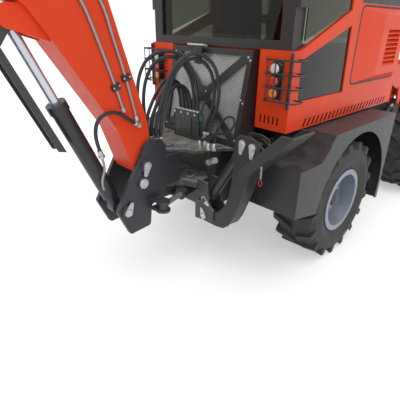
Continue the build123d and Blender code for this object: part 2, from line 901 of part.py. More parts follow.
# Cab floor with the raised cover over the engine, on four rubber mounts, with consoles, levers and steering wheel
floor_z = skirt_z
inside_y = cab_side_y - cab_wall - fit_gap
hump_front_x = cab_front_x - rail_depth - fit_gap
floor_top_z = floor_z + floor_thickness
with BuildPart() as cab_floor:
    block(
        cab_rear_x + pod_depth + fit_gap, cab_front_x - cab_wall - fit_gap, -inside_y, inside_y,
        floor_z, floor_z + floor_thickness,
    )
    block(hump_rear_x, hump_front_x, -inside_y, hump_inner_y, floor_z, hump_top_z)
    block(
        hump_rear_x + hump_wall, hump_front_x - hump_wall, -inside_y - overrun,
        hump_inner_y - hump_wall, floor_z + floor_thickness, hump_top_z - hump_wall, Mode.SUBTRACT,
    )
    block(
        hump_rear_x + hump_wall, engine_front_x + overrun / 2, engine_outer_y - overrun, hump_inner_y - hump_wall,
        floor_z - overrun, floor_z + floor_thickness + overrun, Mode.SUBTRACT,
    )
    for mount_x in mount_x_places:
        for mount_side in (-mount_y, mount_y):
            upright_solid(mount_x, mount_side, mount_radius, frame_top_z + plate + fit_gap, floor_z)
    for side_y in (seat_y - seat_width / 2 - console_width, seat_y + seat_width / 2 + overrun):
        console_x = seat_x
        block(
            console_x, console_x + 2 * console_x_depth, side_y, side_y + console_width - overrun,
            floor_top_z, floor_top_z + console_height,
        )
        for lever_share in (0.25, 0.75):
            lever_x = console_x + console_x_depth
            lever_y = side_y + lever_share * (console_width - overrun)
            top = floor_top_z + console_height + lever_height
            upright_solid(lever_x, lever_y, lever_radius, floor_top_z + console_height, top)
            upright_solid(lever_x, lever_y, knob_radius, top - knob_radius, top + knob_radius)
    column_top = (column_x - column_lean, column_y, column_top_z)
    column_run = Vector(-column_lean, 0, column_top_z - floor_top_z)
    rod_solid((column_x, column_y, floor_top_z - column_radius / 3), column_top, column_radius)
    with BuildSketch(Plane(origin=(rear_axle_x + column_top[0], column_y, column_top_z), z_dir=column_run)) as ring:
        Circle(wheel_ring_radius)
        Circle(wheel_ring_radius - 2 * wheel_ring_section, mode=Mode.SUBTRACT)
        Rectangle(2 * wheel_ring_radius - wheel_ring_section, 2 * wheel_ring_section)
    extrude(ring.sketch, amount=2 * wheel_ring_section)
finish(cab_floor.part, "cab_floor")

# Cab body: painted lower shell with the rear pods and the slanting belt line
belt_points = [
    (cab_rear_x, skirt_z), (skirt_front_x, skirt_z), (skirt_front_x, skirt_z + skirt_rise),
    (cab_front_x, skirt_z + 1.6 * skirt_rise), (cab_front_x, cover_top_z), (post_front_x, cover_top_z),
    (post_front_x, roof_line_z), (post_rear_x, roof_line_z), (post_rear_x, belt_front_z),
    (cab_rear_x + pod_depth, pod_top_z), (cab_rear_x, pod_top_z),
]
door_side_points = [
    (cab_rear_x, skirt_z), (skirt_front_x, skirt_z), (skirt_front_x, door_bottom_z - cover_gap),
    (post_front_x, door_bottom_z - cover_gap), (post_front_x, roof_line_z), (post_rear_x, roof_line_z),
    (post_rear_x, belt_front_z), (cab_rear_x + pod_depth, pod_top_z), (cab_rear_x, pod_top_z),
]
quarter_length = post_front_x + pod_depth - cab_rear_x
quarter_window = spread(
    quarter_window_shares, cab_rear_x, quarter_length, skirt_z, belt_front_z - skirt_z
)
slot_step = (skirt_slot_last_x - skirt_slot_first_x) / (skirt_slot_count - 1)
with BuildPart() as cab_body:
    side_solid(belt_points, -cab_side_y, -cab_side_y + cab_wall)
    side_solid(door_side_points, cab_side_y - cab_wall, cab_side_y)
    for y_low, y_high in mirrored_spans(pod_inner_y, cab_side_y - cab_wall):
        block(cab_rear_x, cab_rear_x + pod_depth, y_low, y_high, skirt_z, pod_top_z)
    block(
        cab_rear_x + pod_depth - cab_wall, cab_rear_x + pod_depth, -pod_inner_y, pod_inner_y, skirt_z, pod_top_z
    )
    block(
        cab_front_x - cab_wall, cab_front_x, -cab_side_y + cab_wall, cab_side_y - cab_wall, skirt_z, dash_z
    )
    side_solid(quarter_window, -cab_side_y - overrun, cab_side_y + overrun, mode=Mode.SUBTRACT)
    side_solid(
        rectangle(post_front_x + cover_edge, cover_front_x, cover_bottom_z, cover_upper_z),
        -cab_side_y - overrun, -cab_side_y + cab_wall + overrun, cover_corner, Mode.SUBTRACT,
    )
    for n in range(skirt_slot_count):
        slot_x = skirt_slot_first_x + n * slot_step
        side_solid(
            [
                (slot_x, skirt_slot_z - skirt_slot_length / 2),
                (slot_x + skirt_slot_width, skirt_slot_z - skirt_slot_length / 2),
                (slot_x + skirt_slot_width + skirt_slot_lean, skirt_slot_z + skirt_slot_length / 2),
                (slot_x + skirt_slot_lean, skirt_slot_z + skirt_slot_length / 2),
            ],
            -cab_side_y - overrun, -cab_side_y + cab_wall + overrun, mode=Mode.SUBTRACT,
        )
    for pod_side in (-1, 1):
        for n in range(pod_slot_count):
            slot_y = pod_side * (pod_inner_y + (n + 1.2) * pod_slot_pitch)
            block(
                cab_rear_x - overrun, cab_rear_x + pod_depth / 3, slot_y - pod_slot_width / 2, slot_y + pod_slot_width / 2,
                pod_slot_z - pod_slot_height / 2, pod_slot_z + pod_slot_height / 2, Mode.SUBTRACT,
            )
finish(cab_body.part, "cab_body")

# Moulded cover of the engine side, bulged, with a stack of louvres
cover_rear = post_front_x + cover_edge + cover_gap
cover_outline = rectangle(cover_rear, cover_front_x - cover_gap, cover_bottom_z + cover_gap, cover_upper_z - cover_gap)
bulge_rear = cover_rear + cover_bulge_rear_share * (cover_front_x - cover_rear)
bulge_outline = rectangle(
    bulge_rear, cover_front_x - cover_gap - cover_bulge, cover_bottom_z + cover_gap + cover_bulge,
    cover_upper_z - cover_gap - cover_bulge,
)
louvre_step = (louvre_top_z - louvre_bottom_z) / louvre_count
with BuildPart() as engine_cover:
    side_solid(cover_outline, -cab_side_y, -cab_side_y + cab_wall, cover_corner - cover_gap)
    with BuildSketch(Plane.XZ.offset(cab_side_y)) as cover_base:
        with BuildLine():
            FilletPolyline(*shift(cover_outline), radius=cover_corner - cover_gap, close=True)
        make_face()
    with BuildSketch(Plane.XZ.offset(cab_side_y + cover_bulge)) as cover_face:
        with BuildLine():
            FilletPolyline(*shift(bulge_outline), radius=cover_corner - cover_gap, close=True)
        make_face()
    loft([cover_base.sketch, cover_face.sketch])
    side_solid(
        rectangle(louvre_rear_x, louvre_front_x, louvre_bottom_z, louvre_top_z),
        -cab_side_y - cover_bulge - overrun, -cab_side_y - cover_bulge + louvre_depth, 3 * louvre_thickness,
        Mode.SUBTRACT,
    )
    for n in range(louvre_count):
        fin_z = louvre_bottom_z + (n + 0.5) * louvre_step
        cross_solid(
            [
                (-cab_side_y - cover_bulge, fin_z - louvre_drop),
                (-cab_side_y - cover_bulge, fin_z - louvre_drop + louvre_thickness),
                (-cab_side_y - cover_bulge + louvre_depth, fin_z + louvre_drop),
                (-cab_side_y - cover_bulge + louvre_depth, fin_z + louvre_drop - louvre_thickness),
            ],
            louvre_rear_x, louvre_front_x,
        )
finish(engine_cover.part, "engine_cover")

# Cab frame: pillars and rails that carry the roof and hold the glass, with the door's hinge knuckles
pillar_y = cab_side_y - cab_wall - fit_gap
roof_rail_z = roof_line_z - rail_depth
door_top_z = roof_rail_z - cover_gap
hinge_y = cab_side_y + hinge_stand
hinge_levels = [door_bottom_z + share * (door_top_z - door_bottom_z) for share in hinge_level_shares]
with BuildPart() as cab_frame:
    for y_low, y_high in mirrored_spans(pillar_y - pillar_depth, pillar_y):
        block(rear_pillar_x, rear_pillar_x + pillar_width, y_low, y_high, pod_top_z + fit_gap, roof_line_z)
        block(cab_front_x - cab_wall - pillar_depth - fit_gap, cab_front_x - cab_wall - fit_gap, y_low, y_high,
              floor_z + floor_thickness + fit_gap if y_low > 0 else hump_top_z + fit_gap, roof_line_z)
        block(rear_pillar_x, cab_front_x, y_low, y_high, roof_rail_z, roof_line_z)
    for y_low, y_high in ((-cab_side_y, -pillar_y), (pillar_y, cab_side_y)):
        block(rear_pillar_x, post_rear_x - fit_gap, y_low, y_high, roof_rail_z, roof_line_z)
        block(post_front_x + fit_gap, cab_front_x, y_low, y_high, roof_rail_z, roof_line_z)
        block(rear_pillar_x, rear_pillar_x + pillar_width, y_low, y_high, belt_front_z, roof_line_z)
        block(front_pillar_x, cab_front_x, y_low, y_high, cover_top_z + fit_gap, roof_line_z)
    for x_low in (rear_pillar_x, cab_front_x - rail_depth):
        block(x_low, x_low + rail_depth, -pillar_y, pillar_y, roof_rail_z, roof_line_z)
    block(rear_pillar_x, rear_pillar_x + rail_depth, -pillar_y, pillar_y, pod_top_z + fit_gap, pod_top_z + rail_depth)
    block(cab_front_x - rail_depth, cab_front_x, -pillar_y, pillar_y, dash_z + fit_gap, dash_z + rail_depth)
    block(
        post_front_x + fit_gap, front_pillar_x, -cab_side_y, -pillar_y,
        cover_top_z + fit_gap, cover_top_z + rail_depth,
    )
    for level in hinge_levels:
        upright_solid(
            post_front_x, hinge_y + hinge_radius, hinge_radius / 2, level - hinge_height / 2, level + 1.5 * hinge_height
        )
        for low in (level - hinge_height / 2, level + hinge_height + run_gap):
            upright_solid(post_front_x, hinge_y + hinge_radius, hinge_radius, low, low + hinge_height / 2 - run_gap)
            block(
                post_rear_x + door_frame, post_front_x, cab_side_y + fit_gap, hinge_y + hinge_radius,
                low, low + hinge_height / 2 - run_gap,
            )
finish(cab_frame.part, "cab_frame")

# Fixed panes, each set in its frame
with BuildPart() as cab_glass:
    block(
        rear_pillar_x + glass_inset, rear_pillar_x + glass_inset + glass,
        -pillar_y + pillar_depth + glass_gap, pillar_y - pillar_depth - glass_gap,
        pod_top_z + rail_depth + fit_gap, roof_rail_z - fit_gap,
    )
    block(
        cab_front_x - glass_inset - glass, cab_front_x - glass_inset,
        -pillar_y + fit_gap, pillar_y - fit_gap, dash_z + rail_depth + fit_gap, roof_rail_z - fit_gap,
    )
    block(
        post_front_x + fit_gap, front_pillar_x - fit_gap, -cab_side_y + glass_inset - glass, -cab_side_y + glass_inset,
        cover_top_z + rail_depth + fit_gap, roof_rail_z - fit_gap,
    )
    quarter_upper = [
        (rear_pillar_x + pillar_width + fit_gap, pod_top_z + rail_depth), (post_rear_x - fit_gap, belt_front_z + glass),
        (post_rear_x - fit_gap, roof_rail_z - fit_gap), (rear_pillar_x + pillar_width + fit_gap, roof_rail_z - fit_gap),
    ]
    lower_inset = spread(
        [(s + (fit_gap if s < 0.5 else -fit_gap) / quarter_length, t) for s, t in quarter_window_shares],
        cab_rear_x, quarter_length, skirt_z + fit_gap, belt_front_z - skirt_z - 2 * fit_gap,
    )
    for y_low, y_high in mirrored_spans(cab_side_y - glass_inset, cab_side_y - glass_inset + glass):
        side_solid(quarter_upper, y_low, y_high)
        side_solid(lower_inset, y_low, y_high)
finish(cab_glass.part, "cab_glass")

# Roof: shell with a low crown and rounded corners
roof_half = cab_side_y + roof_overhang_side
with BuildPart() as cab_roof:
    roof_plan = rectangle(
        cab_rear_x - roof_overhang_rear, cab_front_x + roof_overhang_front, -roof_half, roof_half
    )
    crown_plan = rectangle(
        cab_rear_x - roof_overhang_rear + roof_crown_inset, cab_front_x + roof_overhang_front - roof_crown_inset,
        -roof_half + roof_crown_inset, roof_half - roof_crown_inset,
    )
    plan_solid(roof_plan, roof_line_z + fit_gap, roof_line_z + roof_edge, roof_corner)
    with BuildSketch(Plane.XY.offset(roof_line_z + roof_edge)) as roof_base:
        with BuildLine():
            FilletPolyline(*shift(roof_plan), radius=roof_corner, close=True)
        make_face()
    with BuildSketch(Plane.XY.offset(roof_line_z + roof_edge + roof_crown)) as roof_top:
        with BuildLine():
            FilletPolyline(*shift(crown_plan), radius=roof_corner, close=True)
        make_face()
    loft([roof_base.sketch, roof_top.sketch])
finish(cab_roof.part, "cab_roof")

# Door on the left, hung on its rear edge
door_outline = rectangle(door_rear_x, door_front_x, door_bottom_z, door_top_z)
door_hole = rectangle(
    door_rear_x + door_frame, door_front_x - door_frame, door_bottom_z + door_frame, door_mid_z
)
door_upper_hole = rectangle(
    door_rear_x + door_frame, door_front_x - door_frame, door_mid_z + door_frame, door_top_z - door_frame
)
with BuildPart() as door:
    side_solid(door_outline, cab_side_y - door_thickness, cab_side_y, door_corner)
    side_solid(door_hole, cab_side_y - door_thickness - overrun, cab_side_y + overrun, door_corner / 2, Mode.SUBTRACT)
    side_solid(
        door_upper_hole, cab_side_y - door_thickness - overrun, cab_side_y + overrun, door_corner / 2, Mode.SUBTRACT
    )
    for level in hinge_levels:
        upright_solid(post_front_x, hinge_y + hinge_radius, hinge_radius, level, level + hinge_height)
        block(
            post_front_x, door_rear_x + door_frame / 2, cab_side_y, hinge_y + hinge_radius,
            level, level + hinge_height,
        )
        upright_solid(
            post_front_x, hinge_y + hinge_radius, hinge_radius / 2 + fit_gap, level - overrun,
            level + hinge_height + overrun, Mode.SUBTRACT,
        )
    handle_x = door_front_x - door_frame / 2
    handle_y = cab_side_y + 2 * handle_radius
    handle_z = door_mid_z + door_frame / 2
    for post_z in (handle_z - handle_length / 3, handle_z + handle_length / 3):
        rod_solid((handle_x, cab_side_y - handle_radius, post_z), (handle_x, handle_y, post_z), 0.6 * handle_radius)
    rod_solid(
        (handle_x, handle_y, handle_z - handle_length / 2), (handle_x, handle_y, handle_z + handle_length / 2),
        handle_radius,
    )
finish(door.part, "door")

with BuildPart() as door_glass:
    for low, high in ((door_bottom_z + door_frame, door_mid_z), (door_mid_z + door_frame, door_top_z - door_frame)):
        side_solid(
            rectangle(door_rear_x + door_frame + fit_gap, door_front_x - door_frame - fit_gap, low + fit_gap, high - fit_gap),
            cab_side_y - glass_inset - glass, cab_side_y - glass_inset, door_corner / 2,
        )
finish(door_glass.part, "door_glass")

# Seat on its pedestal
seat_low_z = floor_z + floor_thickness + fit_gap
with BuildPart() as seat:
    block(
        seat_x, seat_x + seat_depth, seat_y - seat_width / 2, seat_y + seat_width / 2,
        seat_cushion_z, seat_cushion_z + seat_cushion_height,
    )
    side_solid(
        [
            (seat_x, seat_cushion_z), (seat_x + seat_back_thickness, seat_cushion_z),
            (seat_x + seat_back_thickness - seat_round, seat_cushion_z + seat_back_height),
            (seat_x - seat_round, seat_cushion_z + seat_back_height),
        ],
        seat_y - seat_width / 2, seat_y + seat_width / 2,
    )
    fillet(seat.edges().filter_by(Axis.Y).group_by(Axis.Z)[-1], seat_round / 2)
    upright_solid(seat_x + seat_depth / 2, seat_y, seat_base_radius, seat_low_z, seat_cushion_z)
finish(seat.part, "seat")

# Tail lamps on a plate at each rear corner, and work lamps under the roof's corners
lamp_face_x = cab_rear_x - fit_gap
with BuildPart() as lamps:
    for side in (-1, 1):
        block(
            lamp_face_x - lamp_plate_thickness, lamp_face_x,
            side * lamp_y - lamp_plate_width / 2, side * lamp_y + lamp_plate_width / 2,
            lamp_z_places[0] - lamp_plate_width / 2, lamp_z_places[2] + lamp_plate_width / 2,
        )
        for lamp_z in lamp_z_places:
            long_pin(lamp_face_x - lamp_length, lamp_face_x, side * lamp_y, lamp_z, lamp_radius)
    for side in (-1, 1):
        for lamp_x, facing in ((cab_rear_x - roof_overhang_rear, 1), (cab_front_x + roof_overhang_front, -1)):
            low = min(lamp_x, lamp_x + facing * work_lamp_depth)
            block(
                low, low + work_lamp_depth, side * work_lamp_y - work_lamp_width / 2,
                side * work_lamp_y + work_lamp_width / 2, roof_line_z - work_lamp_height, roof_line_z,
            )
finish(lamps.part, "lamps")

# Rear guards: leaning frame with a crossed brace over a flat mesh, and bent wires round the lamps
guard_run = Vector(guard_top_x - guard_bottom_x, 0, guard_top_z - guard_bottom_z)
guard_plane = Plane(
    origin=(rear_axle_x + guard_bottom_x, 0, guard_bottom_z), x_dir=(0, -1, 0),
    z_dir=Vector(-guard_run.Z, 0, guard_run.X),
)
guard_height = guard_run.length
recess_x = cab_rear_x + pod_depth - cab_wall - fit_gap
brace_angle = Vector(2 * guard_half - guard_bar, guard_height - guard_bar, 0).get_angle(Vector(1, 0, 0))
row_step = (guard_wire_high_z - guard_wire_low_z) / (guard_wire_rows - 1)
column_step = (guard_wire_outer_y - guard_wire_inner_y) / guard_wire_columns
wire_front_x = cab_rear_x + 2 * guard_wire_bend
with BuildPart() as rear_guards:
    with BuildSketch(guard_plane) as guard_frame:
        with Locations((0, guard_height / 2)):
            Rectangle(2 * guard_half, guard_height)
            Rectangle(2 * (guard_half - guard_bar), guard_height - 2 * guard_bar, mode=Mode.SUBTRACT)
    extrude(guard_frame.sketch, amount=-guard_thickness)
    with BuildSketch(guard_plane.offset(-guard_thickness)) as guard_mesh:
        with Locations((0, guard_height / 2)):
            Rectangle(2 * guard_half, guard_height)
    extrude(guard_mesh.sketch, amount=mesh_thickness)
    with BuildSketch(guard_plane.offset(-brace_thickness)) as guard_brace:
        with Locations((0, guard_height / 2)):
            for turn in (-brace_angle, brace_angle):
                Rectangle(
                    hypot(2 * guard_half, guard_height) - 2 * guard_bar, brace_width, rotation=turn
                )
            Circle(guard_boss_radius)
    extrude(guard_brace.sketch, amount=brace_thickness)
    for y_low, y_high in mirrored_spans(guard_half - cheek_thickness, guard_half):
        side_solid(
            [
                (guard_top_x, guard_top_z), (guard_bottom_x + guard_thickness, guard_bottom_z),
                (frame_rear_x + 3 * plate, deck_top_z), (recess_x, deck_top_z),
                (recess_x, guard_top_z),
            ],
            y_low, y_high,
        )
    for side in (-1, 1):
        for row in range(guard_wire_rows):
            row_plane = Plane.XY.offset(guard_wire_low_z + row * row_step)
            with BuildLine(row_plane) as bend:
                FilletPolyline(
                    *shift([
                        (lamp_face_x, side * guard_wire_inner_y), (guard_wire_x, side * guard_wire_inner_y),
                        (guard_wire_x, side * guard_wire_outer_y), (wire_front_x, side * guard_wire_outer_y),
                        (wire_front_x, side * (cab_side_y + fit_gap)),
                    ]),
                    radius=guard_wire_bend,
                )
            with BuildSketch(Plane(origin=bend.line @ 0, z_dir=bend.line % 0)) as wire:
                Circle(wire_radius)
            sweep(wire.sketch, path=bend.line)
        for column in range(guard_wire_columns):
            wire_y = guard_wire_inner_y + (column + 0.5) * column_step
            rod_solid(
                (guard_wire_x - wire_radius, side * wire_y, guard_wire_low_z - 2 * wire_radius),
                (guard_wire_x - wire_radius, side * wire_y, guard_wire_high_z + 2 * wire_radius),
                0.7 * wire_radius,
            )
finish(rear_guards.part, "rear_guards")

# Backhoe frame: deck, lower plate, side plates, nose for the king pin and brackets of the stabilizers
deck_half_points = [
    (deck_front_x, -deck_front_half), (deck_mid_x, -deck_front_half), (deck_rear_x, -deck_rear_half),
    (nose_root_x, -nose_root_half), (nose_hollow_x, -nose_hollow_half), (king_x - nose_join_half / 2, -nose_join_half),
    (king_x - nose_join_half / 2, nose_join_half), (nose_hollow_x, nose_hollow_half), (nose_root_x, nose_root_half),
    (deck_rear_x, deck_rear_half), (deck_mid_x, deck_front_half), (deck_front_x, deck_front_half),
]
lower_points = [
    (frame_rear_x - fit_gap, -rail_outer_y), (side_plate_rear_x, -rail_outer_y),
    (nose_root_x, -nose_root_half), (nose_hollow_x, -nose_hollow_half), (king_x - nose_join_half / 2, -nose_join_half),
    (king_x - nose_join_half / 2, nose_join_half), (nose_hollow_x, nose_hollow_half), (nose_root_x, nose_root_half),
    (side_plate_rear_x, rail_outer_y), (frame_rear_x - fit_gap, rail_outer_y),
]
swing_low_z = swing_z - swing_cylinder[0] * gland_swell - hub_clearance
swing_high_z = swing_z + swing_cylinder[0] * gland_swell + hub_clearance
bracket_spans = (
    (stab_x - leg_gap / 2 - leg_plate - run_gap - bracket_plate, stab_x - leg_gap / 2 - leg_plate - run_gap),
    (stab_x + leg_gap / 2 + leg_plate + run_gap, stab_x + leg_gap / 2 + leg_plate + run_gap + bracket_plate),
)
with BuildPart() as backhoe_frame:
    plan_solid(deck_half_points, deck_top_z - deck_thickness, deck_top_z)
    upright_solid(king_x, 0, nose_radius, deck_top_z - deck_thickness, deck_top_z)
    plan_solid(lower_points, lower_plate_z, lower_plate_z + lower_plate_thickness)
    upright_solid(king_x, 0, nose_radius, lower_plate_z, lower_plate_z + lower_plate_thickness)
    for y_low, y_high in mirrored_spans(rail_outer_y - plate, rail_outer_y):
        side_solid(
            rectangle(side_plate_rear_x, frame_rear_x - fit_gap, side_plate_bottom_z, deck_top_z - deck_thickness),
            y_low, y_high,
        )
    block(
        frame_rear_x - plate - fit_gap, frame_rear_x - fit_gap, -rail_outer_y, rail_outer_y,
        side_plate_bottom_z, deck_top_z - deck_thickness,
    )
    block(
        frame_rear_x - fit_gap, frame_rear_x + 3 * plate, -rail_outer_y, rail_outer_y,
        frame_top_z + fit_gap, deck_top_z - deck_thickness,
    )
    upright_solid(king_x, 0, king_pin_radius, lower_plate_z - keeper_thickness, deck_top_z + keeper_thickness)
    for low in (lower_plate_z - keeper_thickness, deck_top_z):
        upright_solid(king_x, 0, keeper_radius, low, low + keeper_thickness)
    for trunnion_side in (-trunnion_y, trunnion_y):
        upright_solid(
            trunnion_x, trunnion_side, trunnion_radius, swing_z + swing_cylinder[0] + fit_gap, lower_plate_z + fit_gap
        )
    for x_low, x_high in bracket_spans:
        for side in (-1, 1):
            corners = spread(
                bracket_outline_shares, rail_outer_y + fit_gap, bracket_width, side_plate_bottom_z, bracket_height
            )
            cross_solid([(side * y, z) for y, z in corners], x_low, x_high)
    block(
        frame_rear_x - plate - overrun, frame_rear_x, -rail_outer_y + plate, rail_outer_y - plate,
        swing_low_z - plate, swing_high_z, Mode.SUBTRACT,
    )
    for y_low, y_high in mirrored_spans(rail_outer_y, rail_outer_y + bracket_notch):
        block(
            bracket_spans[0][0] - overrun, bracket_spans[0][1] + overrun, y_low, y_high, swing_low_z, swing_high_z,
            Mode.SUBTRACT,
        )
    for side in (-1, 1):
        y_low, y_high = sorted((side * (rail_outer_y - plate), side * (rail_outer_y + 2 * fit_gap)))
        block(bracket_spans[0][0], side_plate_rear_x + plate, y_low, y_high, side_plate_bottom_z, swing_low_z)
        lug_near, lug_far = sorted((side * (rear_tie_y - tie_lug_half), side * (rail_outer_y - plate / 2)))
        block(
            rear_tie_x - tie_lug_half, rear_tie_x + tie_lug_half, lug_near, lug_far,
            side_plate_bottom_z, side_plate_bottom_z + tie_lug_plate,
        )
        upright_solid(
            rear_tie_x, side * rear_tie_y, tie_radius, side_plate_bottom_z - overrun,
            side_plate_bottom_z + tie_lug_plate + overrun, Mode.SUBTRACT,
        )
        for pin_y, pin_z in ((leg_pivot_y, leg_pivot_z), (stab_cylinder_y, stab_cylinder_z)):
            long_pin(bracket_spans[0][0] - keeper_thickness, bracket_spans[1][1] + keeper_thickness,
                     side * pin_y, pin_z, stab_pin_radius)
finish(backhoe_frame.part, "backhoe_frame")

# Valve bank behind its cover plate
with BuildPart() as valve_bank:
    block(
        valve_x, valve_x + sheet, valve_right_y, valve_left_y, valve_bottom_z + fit_gap, valve_top_z
    )
    block(
        valve_x, valve_x + valve_flange, valve_right_y, valve_left_y, valve_top_z - sheet, valve_top_z
    )
    block(
        valve_x + sheet, valve_x + sheet + valve_block_depth, valve_right_y + valve_slot, valve_left_y - valve_slot,
        valve_bottom_z + fit_gap, valve_bottom_z + valve_block_height,
    )
    for n in range(spool_count):
        spool_y = valve_right_y + valve_slot + (n + 0.5) * (valve_left_y - valve_right_y - 2 * valve_slot) / spool_count
        upright_solid(
            valve_x + sheet + valve_block_depth / 2, spool_y, spool_radius,
            valve_bottom_z + valve_block_height, valve_bottom_z + valve_block_height + spool_length,
        )
    block(
        port_block_rear_x, valve_x + sheet + valve_block_depth, port_block_right_y, port_block_left_y,
        valve_bottom_z + fit_gap, valve_bottom_z + port_block_height,
    )
    block(
        valve_x + sheet, valve_x + sheet + valve_block_depth, port_block_left_y, valve_right_y + valve_slot,
        valve_bottom_z + fit_gap, valve_bottom_z + port_block_height,
    )
finish(valve_bank.part, "valve_bank")

# Swing post: two cheek plates on a hub that turns on the king pin
post_points = spread(post_outline_shares, swing_post_rear_x, post_length, post_bottom_z, post_height)
hub_low = lower_plate_z + lower_plate_thickness + run_gap
hub_high = deck_top_z - deck_thickness - run_gap
with BuildPart() as swing_post:
    for y_low, y_high in mirrored_spans(post_inner_y, post_inner_y + post_plate):
        side_solid(post_points, y_low, y_high, post_corner)
        for boss_x, boss_z in (
            (boom_foot_x, boom_foot_z), (cylinder_foot_x, cylinder_foot_z), (round_boss_x, round_boss_z)
        ):
            far = y_low - boss_height if y_low < 0 else y_high + boss_height
            near = y_high if y_low < 0 else y_low
            pin_solid(boss_x, boss_z, boss_radius, min(near, far), max(near, far))
    upright_solid(king_x, 0, hub_radius, hub_low, hub_high)
    block(
        king_x - hub_radius - 3 * plate, king_x, -post_inner_y - post_plate + fit_gap, post_inner_y + post_plate - fit_gap,
        hub_low, hub_high,
    )
    upright_solid(king_x, 0, nose_radius + hub_clearance, lower_plate_z - overrun, hub_low, Mode.SUBTRACT)
    upright_solid(king_x, 0, king_pin_radius + fit_gap, hub_low - overrun, hub_high + overrun, Mode.SUBTRACT)
    pin_solid(boom_foot_x, boom_foot_z, boom_pin_radius, -post_inner_y - post_plate, post_inner_y + post_plate)
    pin_solid(
        cylinder_foot_x, cylinder_foot_z, boom_cylinder[4], -post_inner_y - post_plate, post_inner_y + post_plate
    )
    for side in (-1, 1):
        for ear_side in (-1, 1):
            ear_low = swing_z + ear_side * (swing_cylinder[3] / 2 + run_gap + swing_ear_plate / 2) - swing_ear_plate / 2
            plan_solid(
                [
                    (swing_ear_root_x - 2 * swing_ear, side * (post_inner_y + post_plate / 2)),
                    (swing_ear_root_x, side * (post_inner_y + post_plate / 2)),
                    (swing_eye_x + swing_ear * 0.8, side * swing_eye_y),
                    (swing_eye_x - swing_ear * 0.8, side * swing_eye_y),
                ],
                ear_low, ear_low + swing_ear_plate,
            )
            upright_solid(swing_eye_x, side * swing_eye_y, swing_ear, ear_low, ear_low + swing_ear_plate)
    block(
        bulkhead_rear_x, bulkhead_front_x, -post_inner_y - fit_gap, post_inner_y + fit_gap,
        bulkhead_bottom_z, bulkhead_bottom_z + bulkhead_thickness,
    )
finish(swing_post.part, "swing_post")

# Hoses: two high loops and a bundle, from the valve bank over the deck to the bulkhead between the cheeks
hose_foot_z = bulkhead_bottom_z + bulkhead_thickness
spool_top_z = valve_bottom_z + valve_block_height + spool_length
spool_x = valve_x + sheet + valve_block_depth / 2
spool_step = (valve_left_y - valve_right_y - 2 * valve_slot) / spool_count
spool_ends = [(spool_x, valve_right_y + valve_slot + (n + 0.5) * spool_step, spool_top_z) for n in range(spool_count)]
port_ends = [(hose_port_x, hose_port_y - n * hose_port_step, valve_bottom_z + port_block_height) for n in range(2)]
# columns: route, row, start across, end, sideways factor, height factor
hose_rows = (
    (left_loop_shares, 0, hose_loop_y, spool_ends[1], 1.0, 1.0),
    (left_loop_shares, 1, hose_loop_y, spool_ends[0], 1.55, 1.07),
    (bundle_shares, 0, hose_middle_y, spool_ends[3], 1.0, 1.0),
    (bundle_shares, 0, -hose_middle_y, spool_ends[2], 1.0, 1.0),
    (bundle_shares, 1, hose_middle_y, spool_ends[5], 1.0, 1.08),
    (bundle_shares, 1, -hose_middle_y, spool_ends[4], 1.0, 1.08),
    (right_loop_shares, 0, -hose_loop_y, port_ends[0], 1.0, 1.0),
    (right_loop_shares, 1, -hose_loop_y, port_ends[1], 1.1, 1.06),
)
with BuildPart() as hoses:
    for route_shares, row, foot_y, end, wide, high in hose_rows:
        foot = Vector(hose_row_x - row * hose_row_step, foot_y, hose_foot_z)
        way = Vector(end[0] - foot.X, end[1] - foot.Y, 0)
        route = [foot]
        for along, sideways, up in route_shares:
            route.append(foot + way * along + Vector(0, sideways * wide * hose_side, up * high * hose_rise))
        route.append(Vector(*end))
        route = [point + Vector(rear_axle_x, 0, 0) for point in route]
        runs = [after - before for before, after in zip(route, route[1:])]
        radii = [
            hose_corner_share * min(first.length, second.length) / tan(radians(first.get_angle(second) / 2))
            for first, second in zip(runs, runs[1:])
        ]
        with BuildLine() as hose_line:
            FilletPolyline(*route, radius=radii)
        with BuildSketch(Plane(origin=hose_line.line @ 0, z_dir=hose_line.line % 0)) as hose_section:
            Circle(hose_diameter / 2)
        sweep(hose_section.sketch, path=hose_line.line)
        hose_length = sum(edge.length for edge in hose_line.edges())
        print("hose", round(hose_length), "tightest arc", round(min(radii)))
finish(hoses.part, "hoses")

# Swing cylinders, hung on trunnions under the lower plate
for swing_side, side in (("left", 1), ("right", -1)):
    swing_base = (trunnion_x, side * trunnion_y, swing_z)
    swing_eye = (swing_eye_x, side * swing_eye_y, swing_z)
    with BuildPart() as swing_barrel:
        barrel_solid(swing_base, swing_eye, along_z, swing_cylinder, swing_barrel_share, swing_barrel_front)
    finish(swing_barrel.part, f"swing_barrel_{swing_side}")
    with BuildPart() as swing_rod:
        piston_rod(swing_base, swing_eye, along_z, swing_cylinder, 0)
    finish(swing_rod.part, f"swing_rod_{swing_side}")

